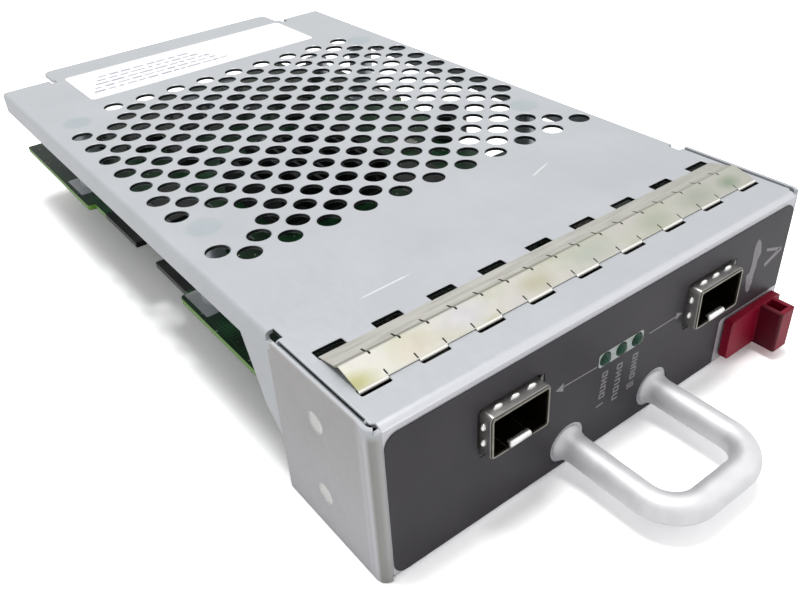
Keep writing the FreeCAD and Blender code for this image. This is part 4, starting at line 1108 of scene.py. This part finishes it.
def leads(node, pitch, along):
    """Bent leads down two sides of a package: flat shoulder, slope and foot."""
    low, high = span(node)
    under = high[2] < BOARD_TOP
    face = BOARD_UNDER if under else BOARD_TOP
    up = -1 if under else 1
    tall = (high[2] - low[2]) * 0.5
    side = np.array([(-0.2, tall), (0.35, tall), (0.6, 0.14), (1.15, 0.14), (1.15, 0), (0.5, 0),
                     (0.28, tall - 0.14), (-0.2, tall - 0.14)])
    other = 1 - along
    at = np.arange(low[along] + pitch, high[along] - pitch / 2, pitch)
    parts = []
    for edge, out in ((low[other], -1), (high[other], 1)):
        for c in at:
            def put(u, v, w, edge=edge, out=out, c=c):
                p = np.zeros((len(u), 3))
                p[:, other] = edge + out * u
                p[:, along] = c + (w + 0.13)
                p[:, 2] = face + up * v
                return p
            points, faces = plate(side, put, 0.26)
            mirror = (out * up > 0) == (along == 0)
            parts.append((points, faces if not mirror else [f[::-1] for f in faces]))
    return join(parts)


lead_parts = [leads(node, pitch, along) for node, pitch, along in (
    ("memory_chip_1", 0.8, 1), ("memory_chip_2", 0.8, 1), ("flash_chip", 0.8, 1),
    ("logic_chip_1", 1.27, 0), ("logic_chip_2", 1.27, 0),
    ("underside_chip_1", 1.27, 0), ("underside_chip_2", 1.27, 0))]
piece("package_leads", join(lead_parts))

# %% [markdown]
# ## Finishes
# A finish is a small tree of nodes round one shader. The helpers below add the nodes that come
# back again and again: noise in real millimetres, a ramp between colours, a bump, a scratch, a
# soft zone between two limits. All patterns read Object coordinates, so that they stay on the
# piece from every side.

# %% Helpers for finishes
def srgb(r, g, b):
    """Colour as it shows on a screen, from 0 to 255, as the linear numbers a shader needs."""
    c = np.array([r, g, b]) / 255
    return (*np.where(c <= 0.04045, c / 12.92, ((c + 0.055) / 1.055) ** 2.4).tolist(), 1.0)


def finish(name, colour, metallic=0.0, roughness=0.5, **more):
    """New material with one shader: sockets that are the same all over are set directly."""
    material = bpy.data.materials.new(name)
    material.use_nodes = True
    tree = material.node_tree
    shader = tree.nodes["Principled BSDF"]
    shader.inputs["Base Color"].default_value = colour
    shader.inputs["Metallic"].default_value = metallic
    shader.inputs["Roughness"].default_value = roughness
    for socket, value in more.items():
        shader.inputs[socket.replace("_", " ")].default_value = value
    return material, tree, shader


def place_of(tree, stretch=(1, 1, 1), turn=0.0, shift=(0, 0, 0)):
    """Object coordinates in millimetres, moved, then turned about Z, then stretched."""
    where = tree.nodes.new("ShaderNodeTexCoord")
    moved = tree.nodes.new("ShaderNodeMapping")
    moved.inputs["Location"].default_value = [v * MM for v in shift]
    tree.links.new(where.outputs["Object"], moved.inputs["Vector"])
    scaled = tree.nodes.new("ShaderNodeMapping")
    scaled.inputs["Rotation"].default_value = (0, 0, turn)
    tree.links.new(moved.outputs[0], scaled.inputs["Vector"])
    last = tree.nodes.new("ShaderNodeMapping")
    last.inputs["Scale"].default_value = [v / MM for v in stretch]
    tree.links.new(scaled.outputs[0], last.inputs["Vector"])
    return last.outputs[0]


def noise(tree, size, stretch=(1, 1, 1), detail=3.0, rough=0.5):
    """Soft noise whose blobs are about size millimetres wide; stretch above 1 makes them finer."""
    texture = tree.nodes.new("ShaderNodeTexNoise")
    texture.inputs["Scale"].default_value = 1 / size
    texture.inputs["Detail"].default_value = detail
    texture.inputs["Roughness"].default_value = rough
    tree.links.new(place_of(tree, stretch), texture.inputs["Vector"])
    return texture.outputs["Fac"]


def ramp(tree, source, stops):
    """Colour by a value: stops are (place, colour) pairs."""
    node = tree.nodes.new("ShaderNodeValToRGB")
    elements = node.color_ramp.elements
    while len(elements) < len(stops):
        elements.new(0.5)
    for element, (at, colour) in zip(elements, stops):
        element.position = at
        element.color = colour
    tree.links.new(source, node.inputs[0])
    return node.outputs[0]


def sums(tree, kind, a, b=0.0, clamp=False):
    """One arithmetic step on sockets or numbers."""
    node = tree.nodes.new("ShaderNodeMath")
    node.operation = kind
    node.use_clamp = clamp
    for socket, value in zip(node.inputs, (a, b)):
        if isinstance(value, (int, float)):
            socket.default_value = value
        else:
            tree.links.new(value, socket)
    return node.outputs[0]


def times(tree, a, b):
    """Product of two sockets or numbers; of two masks, where both of them hold."""
    return sums(tree, "MULTIPLY", a, b)


def blend(tree, share, a, b):
    """Colour a where share is 0 and b where it is 1."""
    node = tree.nodes.new("ShaderNodeMix")
    node.data_type = "RGBA"
    for socket, value in zip((node.inputs[0], node.inputs[6], node.inputs[7]), (share, a, b)):
        if isinstance(value, (int, float, tuple)):
            socket.default_value = value
        else:
            tree.links.new(value, socket)
    return node.outputs[2]


def between(tree, source, low, high, to_low, to_high):
    """Carries a value from one range into another and stops at the ends."""
    node = tree.nodes.new("ShaderNodeMapRange")
    tree.links.new(source, node.inputs[0])
    for socket, value in zip(node.inputs[1:5], (low, high, to_low, to_high)):
        socket.default_value = value
    return node.outputs[0]


def relief(tree, shader, height, depth, strength=1.0):
    """Bump from a value, with its depth in millimetres."""
    node = tree.nodes.new("ShaderNodeBump")
    node.inputs["Strength"].default_value = strength
    node.inputs["Distance"].default_value = depth * MM
    tree.links.new(height, node.inputs["Height"])
    tree.links.new(node.outputs[0], shader.inputs["Normal"])
    return node


def axes(tree, vector):
    """The three parts of a vector."""
    node = tree.nodes.new("ShaderNodeSeparateXYZ")
    tree.links.new(vector, node.inputs[0])
    return node.outputs


def scratch(tree, start, end, width):
    """Mask of a straight hairline between two points of a level face: near its line, by the
    turned coordinates, and inside its length."""
    (x0, y0), (x1, y1) = start, end
    turn = math.atan2(y1 - y0, x1 - x0)
    half = math.hypot(x1 - x0, y1 - y0) / 2
    across = axes(tree, place_of(tree, turn=-turn, shift=(-(x0 + x1) / 2, -(y0 + y1) / 2, 0)))
    near = between(tree, sums(tree, "ABSOLUTE", across[1]), width / 2, width, 1, 0)
    inside = between(tree, sums(tree, "ABSOLUTE", across[0]), half * 0.6, half, 1, 0)
    return times(tree, near, inside)


def zone(tree, value, low, high, soft=0.02):
    """One between two limits and zero outside, with a soft step at each."""
    rise = between(tree, value, low - soft, low + soft, 0, 1)
    fall = between(tree, value, high - soft, high + soft, 1, 0)
    return times(tree, rise, fall)


def spot(tree, x, y, across, along, core=0.2):
    """Soft oval spot seen from above: one in its core, falling to zero at its rim."""
    away = tree.nodes.new("ShaderNodeVectorMath")
    away.operation = "LENGTH"
    where = place_of(tree, (1 / across, 1 / along, 0), shift=(-x, -y, 0))
    tree.links.new(where, away.inputs[0])
    return between(tree, away.outputs["Value"], core, 1, 1, 0)


def rounded_look(tree, bump, radius):
    """Lets the edges of a moulding catch light as if they were rounded by a radius."""
    edge = tree.nodes.new("ShaderNodeBevel")
    edge.samples = 6
    edge.inputs["Radius"].default_value = radius * MM
    tree.links.new(edge.outputs[0], bump.inputs["Normal"])


def dress(material, *names):
    """Gives a material to pieces and nodes by name, in place of what they had."""
    for name in names:
        data = bpy.data.objects[name].data
        data.materials.clear()
        data.materials.append(material)
    print(material.name, "on", ", ".join(names))


print("finish helpers ready")

# %% [markdown]
# ### Plated steel
# The carrier is pre-plated steel. Its colour is a cool, even grey with a barely visible mill
# grain along its length, small cloudy differences, and two bright hairlines on the top. The
# plate is pressed a little darker round the posts. Light and shade are painted on as well: a
# painted highlight on the panel's upper bend, a darker band and a painted highlight across the
# corner bends, painted shade on the side walls, and the walls of holes and slots painted
# nearly black as shade.

# %% Plated steel
def plated_steel():
    """Even grey, then posts and hairlines, then painted light and shade: upper bend, corners, side
    walls, cut walls.
    """
    material, tree, shader = finish("plated_steel", srgb(193, 197, 200), 0.42, 0.42)
    cloud = noise(tree, 22, detail=2)
    grain = noise(tree, 0.5, (1, 0.06, 1), detail=2)
    tone = sums(tree, "ADD", times(tree, cloud, 0.75), times(tree, grain, 0.25))
    base = ramp(tree, tone, [(0.3, srgb(189, 192, 196)), (0.7, srgb(197, 200, 204))])
    x, y, z = axes(tree, place_of(tree))
    side = sums(tree, "ABSOLUTE", x)
    over = sums(tree, "GREATER_THAN", z, HEIGHT - 0.1)
    for px, py in posts:
        pressed = times(tree, spot(tree, px, py, 5.1, 5.1, 0.8), over)
        base = blend(tree, times(tree, pressed, 0.5), base, srgb(179, 188, 193))
    marks = sums(tree, "MAXIMUM", scratch(tree, (-41.4, 32.7), (-27.0, 33.1), 0.3),
                 scratch(tree, (21, 47), (30, 50), 0.3))
    base = blend(tree, times(tree, marks, over), base, srgb(226, 229, 232))
    # Painted highlight: the panel's upper bend is painted paler, where it catches the light.
    bend = times(tree, zone(tree, y, -1, 1.3, 0.3), sums(tree, "LESS_THAN", side, FRONT_HALF))
    base = blend(tree, bend, base, srgb(209, 210, 215))
    # Across each corner bend the tone darkens in a band, then turns light in a painted highlight.
    corner = ramp(tree, between(tree, y, 0, 3.2, 0, 1), [
        (0.02, srgb(178, 177, 178)), (0.12, srgb(158, 157, 155)), (0.34, srgb(148, 148, 144)),
        (0.58, srgb(198, 197, 202)), (0.95, srgb(181, 181, 185))])
    turned = times(tree, sums(tree, "GREATER_THAN", side, FRONT_HALF + 0.05),
                   sums(tree, "LESS_THAN", y, 3.2))
    turned = times(tree, turned, between(tree, z, HEIGHT - 2.6, HEIGHT - 0.9, 1, 0))
    base = blend(tree, turned, base, corner)
    # Painted shade: the side walls are painted a darker grey than the top, and darker again towards
    # their upper edge.
    wall = times(tree, sums(tree, "GREATER_THAN", side, HALF - 0.4),
                 between(tree, y, 2.6, 4.5, 0, 1))
    base = blend(tree, wall, base, ramp(tree, between(tree, z, 0, HEIGHT, 0, 1), [
        (0.1, srgb(181, 180, 184)), (0.9, srgb(170, 168, 168))]))
    # Painted shade: the walls of holes and slots through the top are painted nearly black.
    field = times(tree, zone(tree, y, 4, DEPTH - 1), sums(tree, "LESS_THAN", side, 59))
    cut = times(tree, zone(tree, z, HEIGHT - 0.97, HEIGHT - 0.2), field)
    base = blend(tree, cut, base, srgb(34, 36, 38))
    tree.links.new(base, shader.inputs["Base Color"])
    rough = between(tree, noise(tree, 1.6, detail=4), 0.3, 0.7, 0.38, 0.48)
    tree.links.new(rough, shader.inputs["Roughness"])
    relief(tree, shader, grain, 0.01, 0.35)
    return material


dress(plated_steel(), "carrier_sheet", "latch_guide")

# %% [markdown]
# ### Spring alloy
# The strip is thin plated copper alloy: a warm, pale tone with stains. A soft noise mixes the
# ground, and a list of oval spots puts the stains where they lie. Painted shade makes the rear
# slope greyer, the band behind the ridge darker and what hooks down through the slots nearly
# black, and a painted highlight runs along the front edge.

# %% Spring alloy
STAINS = [(-56.5, 11.3, 5.5, 3.0, srgb(171, 169, 124)), (-43, 12.5, 7, 3.5, srgb(202, 195, 181)),
          (-30, 13.5, 8, 4, srgb(205, 202, 204)), (-12, 12.5, 6, 3, srgb(188, 184, 162)),
          (4, 13, 9, 4, srgb(186, 191, 179)), (24, 12.5, 7, 3.5, srgb(179, 184, 165)),
          (40, 13, 8, 4, srgb(174, 179, 165)), (51, 12.5, 4.5, 2.6, srgb(130, 153, 122))]


def spring_alloy():
    """Noise ground and stains, then painted shade on the rear slope, the ridge band and the hooks,
    and a painted highlight along the front edge.
    """
    material, tree, shader = finish("spring_alloy", srgb(196, 195, 184), 0.45, 0.42)
    stain = noise(tree, 9, (1, 1.4, 1), detail=3)
    base = ramp(tree, stain, [(0.32, srgb(193, 192, 174)), (0.5, srgb(202, 201, 190)),
                              (0.7, srgb(204, 200, 195))])
    for x, y, across, along, colour in STAINS:
        base = blend(tree, spot(tree, x, y, across, along), base, colour)
    x, y, z = axes(tree, place_of(tree))
    streak = noise(tree, 1.2, (0.12, 1, 1), detail=3)
    # Painted shade: the rear slope, which faces away from the light, is painted greyer, with
    # streaks.
    rear = zone(tree, y, STRIP_RIDGE[0] + 1.4, 30)
    base = blend(tree, times(tree, rear, 0.8), base,
                 ramp(tree, streak, [(0.35, srgb(171, 169, 162)), (0.62, srgb(197, 195, 189))]))
    # Painted shade: the band just behind the ridge is painted darker.
    behind = zone(tree, y, STRIP_RIDGE[0] + 0.15, STRIP_RIDGE[0] + 1.35, 0.2)
    base = blend(tree, times(tree, behind, 0.8), base, srgb(130, 129, 117))
    base = blend(tree, between(tree, x, -10, 60, 0, 0.55), base, srgb(166, 168, 158))
    # Painted highlight: the rounded front edge over the hooks is painted near white.
    nose = times(tree, between(tree, y, STRIP_FRONT + 0.12, STRIP_FRONT + 0.38, 1, 0),
                 sums(tree, "GREATER_THAN", z, HEIGHT - 0.4))
    base = blend(tree, nose, base, srgb(250, 248, 242))
    # Painted shade: what hooks down below the top surface is painted nearly black.
    hook_shade = between(tree, z, HEIGHT - 0.5, HEIGHT - 0.2, 1, 0)
    base = blend(tree, hook_shade, base, srgb(28, 22, 20))
    tree.links.new(base, shader.inputs["Base Color"])
    rough = between(tree, noise(tree, 2.5, detail=3), 0.3, 0.7, 0.36, 0.46)
    tree.links.new(rough, shader.inputs["Roughness"])
    relief(tree, shader, noise(tree, 5, (1, 0.4, 1), detail=1), 0.02, 0.5)
    return material


dress(spring_alloy(), "grounding_strip")

# %% [markdown]
# ### Film, label and lamp parts
# The panel's film is dark, fine-grained and nearly matt. The label is satin paper. The lamp
# holder is milky plastic, which lets a little light in, and the lenses are deep green under a
# thin smooth coat. All are one form: two close tones mixed by a noise, with a fine bump.

# %% Film, label and lamp plastics
def two_tone(name, colour, roughness, size, stops, detail=3, grain=None, **more):
    """No metal: close tones by a noise, and a bump where grain gives size, detail, depth, force."""
    material, tree, shader = finish(name, colour, 0.0, roughness, **more)
    tone = noise(tree, size, detail=detail)
    tree.links.new(ramp(tree, tone, stops), shader.inputs["Base Color"])
    if grain:
        relief(tree, shader, noise(tree, grain[0], detail=grain[1]), *grain[2:])
    return material


def ink_finish(name, dark, light):
    """Printed ink: slightly uneven cover, satin."""
    return two_tone(name, light, 0.4, 0.5, [(0.3, dark), (0.7, light)])


dark_film = two_tone("dark_film", srgb(52, 48, 53), 0.42, 12,
                     [(0.3, srgb(50, 47, 52)), (0.7, srgb(57, 54, 59))], detail=2,
                     grain=(0.35, 4, 0.02, 0.5), Specular_IOR_Level=0.3)
label_paper = two_tone("label_paper", srgb(252, 252, 254), 0.35, 3,
                       [(0.35, srgb(250, 250, 252)), (0.65, srgb(254, 254, 255))], detail=4,
                       grain=(0.4, 3, 0.01, 0.4))
milky_plastic = two_tone("milky_plastic", srgb(180, 187, 184), 0.4, 1.5,
                         [(0.3, srgb(173, 182, 178)), (0.7, srgb(187, 194, 191))],
                         grain=(0.3, 3, 0.01, 0.4), Subsurface_Weight=0.2,
                         Subsurface_Scale=0.001)
green_lens = two_tone("green_lens", srgb(0, 58, 40), 0.2, 0.9,
                      [(0.35, srgb(0, 44, 30)), (0.65, srgb(0, 74, 50))], detail=2,
                      Specular_IOR_Level=0.1, Coat_Weight=0.5, Coat_Roughness=0.06)
dress(dark_film, "front_overlay")
dress(label_paper, "product_label")
dress(ink_finish("film_ink", srgb(132, 129, 132), srgb(151, 149, 151)), "panel_print")
dress(ink_finish("mark_ink", srgb(123, 119, 123), srgb(139, 134, 139)), "panel_marks")
dress(ink_finish("label_ink", srgb(164, 162, 176), srgb(187, 185, 195)), "label_print")
dress(milky_plastic, "lamp_holder")
dress(green_lens, "lamp_lens_1", "lamp_lens_2", "lamp_lens_3")

# %% [markdown]
# ### Handle, latch and fasteners
# The handle is satin metal. The latch is burgundy moulding with a faint texture, and the side
# of its thumb piece that faces the plate is painted darker, as it lies in its shade. Screws,
# posts and rivets are plated a little brighter than the sheet. The port cages are nickel,
# painted nearly black down the inside as shade, and the collar's bumps and the mouth ramps are
# painted near white as a highlight. One function makes all the plain metals, which differ in
# tone, gloss and grain.

# %% Metals and the red moulding
def satin_metal(name, dark, light, roughness, size, metallic=0.9, grain=0.4):
    """Metal with a fine all-over texture: two close tones, uneven gloss and a light bump."""
    material, tree, shader = finish(name, light, metallic, roughness)
    tone = noise(tree, size * 8, detail=3)
    tree.links.new(ramp(tree, tone, [(0.3, dark), (0.7, light)]), shader.inputs["Base Color"])
    fine = noise(tree, size, detail=4)
    rough = between(tree, fine, 0.3, 0.7, roughness - 0.06, roughness + 0.06)
    tree.links.new(rough, shader.inputs["Roughness"])
    relief(tree, shader, fine, 0.02, grain)
    return material


def cage_metal():
    """Nickel outside, and nearly black down the inside, where little light reaches."""
    material, tree, shader = finish("cage_nickel", srgb(150, 146, 136), 0.85, 0.32)
    x, y, z = axes(tree, place_of(tree))
    tone = ramp(tree, noise(tree, 3, detail=3),
                [(0.3, srgb(139, 136, 127)), (0.7, srgb(160, 157, 146))])
    across = sums(tree, "ABSOLUTE", sums(tree, "SUBTRACT", sums(tree, "ABSOLUTE", x), PORT_XS[1]))
    inside = times(tree, sums(tree, "LESS_THAN", across, CAGE_HALF - 0.25),
                   zone(tree, z, CAGE_ZS[0] + 0.25, CAGE_ZS[1] - 0.25))
    deep = times(tree, inside, between(tree, y, CAGE_MOUTH, CAGE_MOUTH + 0.6, 0, 1))
    tree.links.new(blend(tree, deep, tone, srgb(42, 38, 28)), shader.inputs["Base Color"])
    rough = between(tree, noise(tree, 0.6), 0.3, 0.7, 0.28, 0.36)
    tree.links.new(rough, shader.inputs["Roughness"])
    return material


def red_moulding():
    """Two close reds by a noise, darker on the thumb piece's shaded side, with soft edges."""
    material, tree, shader = finish("red_moulding", srgb(118, 8, 36), 0.0, 0.42,
                                    Specular_IOR_Level=0.2)
    tone = noise(tree, 5, detail=3)
    base = ramp(tree, tone, [(0.3, srgb(122, 3, 34)), (0.7, srgb(142, 7, 44))])
    x, y, _ = axes(tree, place_of(tree))
    inner = times(tree, zone(tree, x, 49.8, 50.9, 0.1), sums(tree, "LESS_THAN", y, -2.6))
    base = blend(tree, times(tree, inner, 0.75), base, srgb(52, 0, 14))
    tree.links.new(base, shader.inputs["Base Color"])
    bump = relief(tree, shader, noise(tree, 0.4, detail=3), 0.01, 0.4)
    rounded_look(tree, bump, 0.3)
    return material


dress(satin_metal("handle_metal", srgb(222, 222, 225), srgb(232, 232, 234), 0.55, 0.5, 0.6, 0.12),
      "bent_handle")
dress(cage_metal(), "port_cage_left", "port_cage_right")
dress(satin_metal("collar_nickel", srgb(135, 133, 131), srgb(155, 153, 151), 0.34, 0.5, 0.8, 0.15),
      "spring_collar_left", "spring_collar_right")
# Painted highlight: the bumps and the mouth ramps get a nickel painted near white, far paler than
# the collar band.
dress(satin_metal("nickel_painted_highlight", srgb(253, 253, 251), srgb(255, 255, 253), 0.3, 0.6, 0.8, 0.08),
      "mouth_ramp_left", "mouth_ramp_right", "collar_bumps_left", "collar_bumps_right")
dress(satin_metal("bright_rivet", srgb(202, 203, 200), srgb(221, 221, 218), 0.3, 0.9, 0.8),
      "pressed_rivets")
dress(satin_metal("tinned", srgb(158, 162, 164), srgb(184, 187, 189), 0.4, 0.8, 0.8),
      "post_pads", "upper_parts_ends", "lower_parts_ends", "package_leads")
dress(satin_metal("fastener_steel", srgb(182, 190, 195), srgb(187, 194, 199), 0.42, 0.6, 0.6, 0.2),
      "handle_screws", "board_standoffs", "board_screws")
dress(satin_metal("spring_steel", srgb(130, 132, 136), srgb(152, 154, 158), 0.3, 0.5),
      "folded_spring")
dress(satin_metal("socket_metal", srgb(157, 155, 148), srgb(174, 172, 165), 0.32, 0.5),
      "guide_socket_left", "guide_socket_right", "clock_can_1", "clock_can_2")
dress(satin_metal("sink_metal", srgb(35, 37, 40), srgb(49, 50, 54), 0.45, 0.5, 0.6),
      "heat_sink")
dress(satin_metal("can_metal", srgb(164, 165, 171), srgb(179, 181, 184), 0.3, 0.6),
      "bulk_capacitor_1", "bulk_capacitor_2", "bulk_capacitor_3", "bulk_capacitor_4")
dress(red_moulding(), "release_latch")


# %% [markdown]
# ### Circuit board
# Solder mask is dark green, with fine lighter tracks where copper lies under it, and small
# tinned dots. Tracks are stripes that a blocky noise switches on and off. The cut edge shows
# the yellow-green laminate, so it is picked out by its height between the two faces. Two
# stretches of the left edge lie in the shade under the carrier's lip and are painted nearly
# black.

# %% Circuit board
def tracks(tree, axis, pitch, share, size):
    """Stripes across one axis, a share of the pitch wide, inside blocks of a stretched noise."""
    across = axes(tree, place_of(tree))[axis]
    wave = sums(tree, "FRACT", sums(tree, "DIVIDE", across, pitch))
    stripe = sums(tree, "LESS_THAN", wave, share)
    stretch = (1, 0.22, 1) if axis == 0 else (0.22, 1, 1)
    blocks = sums(tree, "GREATER_THAN", noise(tree, size, stretch, detail=0), 0.53)
    return times(tree, stripe, blocks)


def vias(tree, pitch, radius):
    """Round dots at the cells of a Voronoi pattern."""
    cells = tree.nodes.new("ShaderNodeTexVoronoi")
    cells.inputs["Scale"].default_value = 1 / pitch
    tree.links.new(place_of(tree, (1, 1, 0)), cells.inputs["Vector"])
    return sums(tree, "LESS_THAN", cells.outputs["Distance"], radius / pitch)


def laminate():
    """Green mask, tracks and dots on the faces; yellow-green between the heights of the faces."""
    material, tree, shader = finish("board_laminate", srgb(10, 42, 22), 0.0, 0.45,
                                    Specular_IOR_Level=0.25)
    mask = ramp(tree, noise(tree, 14, detail=2),
                [(0.3, srgb(6, 35, 18)), (0.7, srgb(11, 46, 24))])
    lines = sums(tree, "MAXIMUM", tracks(tree, 0, 0.9, 0.4, 6), tracks(tree, 1, 1.1, 0.38, 7))
    face = blend(tree, lines, mask, srgb(21, 67, 35))
    face = blend(tree, vias(tree, 2.6, 0.3), face, srgb(136, 138, 128))
    x, y, height = axes(tree, place_of(tree))
    above = sums(tree, "GREATER_THAN", height, BOARD_UNDER + 0.12)
    below = sums(tree, "LESS_THAN", height, BOARD_TOP - 0.12)
    edge = ramp(tree, noise(tree, 0.4, (1, 1, 3)),
                [(0.3, srgb(84, 132, 48)), (0.7, srgb(118, 162, 62))])
    base = blend(tree, times(tree, above, below), face, edge)
    # Painted shade: two stretches of the left edge, under the carrier's lip, are painted nearly
    # black.
    stretches = sums(tree, "MAXIMUM", zone(tree, y, 117, 141), zone(tree, y, 88, 106))
    lip_shade = times(tree, stretches, sums(tree, "LESS_THAN", x, -53.5))
    base = blend(tree, lip_shade, base, srgb(6, 6, 7))
    tree.links.new(base, shader.inputs["Base Color"])
    relief(tree, shader, lines, 0.03, 0.6)
    return material


dress(laminate(), "main_board")


# %% Chips, plugs and coils
def moulded_black(name, dark, light, roughness, size=0.3):
    """Black compound with a fine matt texture."""
    return two_tone(name, light, roughness, size * 10, [(0.3, dark), (0.7, light)], detail=4,
                    grain=(size, 3, 0.02, 0.6))


chips = [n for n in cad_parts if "chip" in n or n.startswith(("regulator", "power_inductor"))]
dress(moulded_black("chip_body", srgb(19, 19, 20), srgb(27, 27, 30), 0.5), *chips)
dress(moulded_black("part_body", srgb(22, 17, 16), srgb(42, 32, 26), 0.5), "upper_parts_bodies",
      "lower_parts_bodies")
dress(moulded_black("plug_moulding", srgb(14, 14, 16), srgb(22, 22, 24), 0.42),
      "backplane_connector")
dress(moulded_black("black_moulding", srgb(12, 12, 13), srgb(18, 18, 19), 0.38),
      "host_connector_left", "host_connector_right")
print("finishes on", len(bpy.data.materials), "materials")
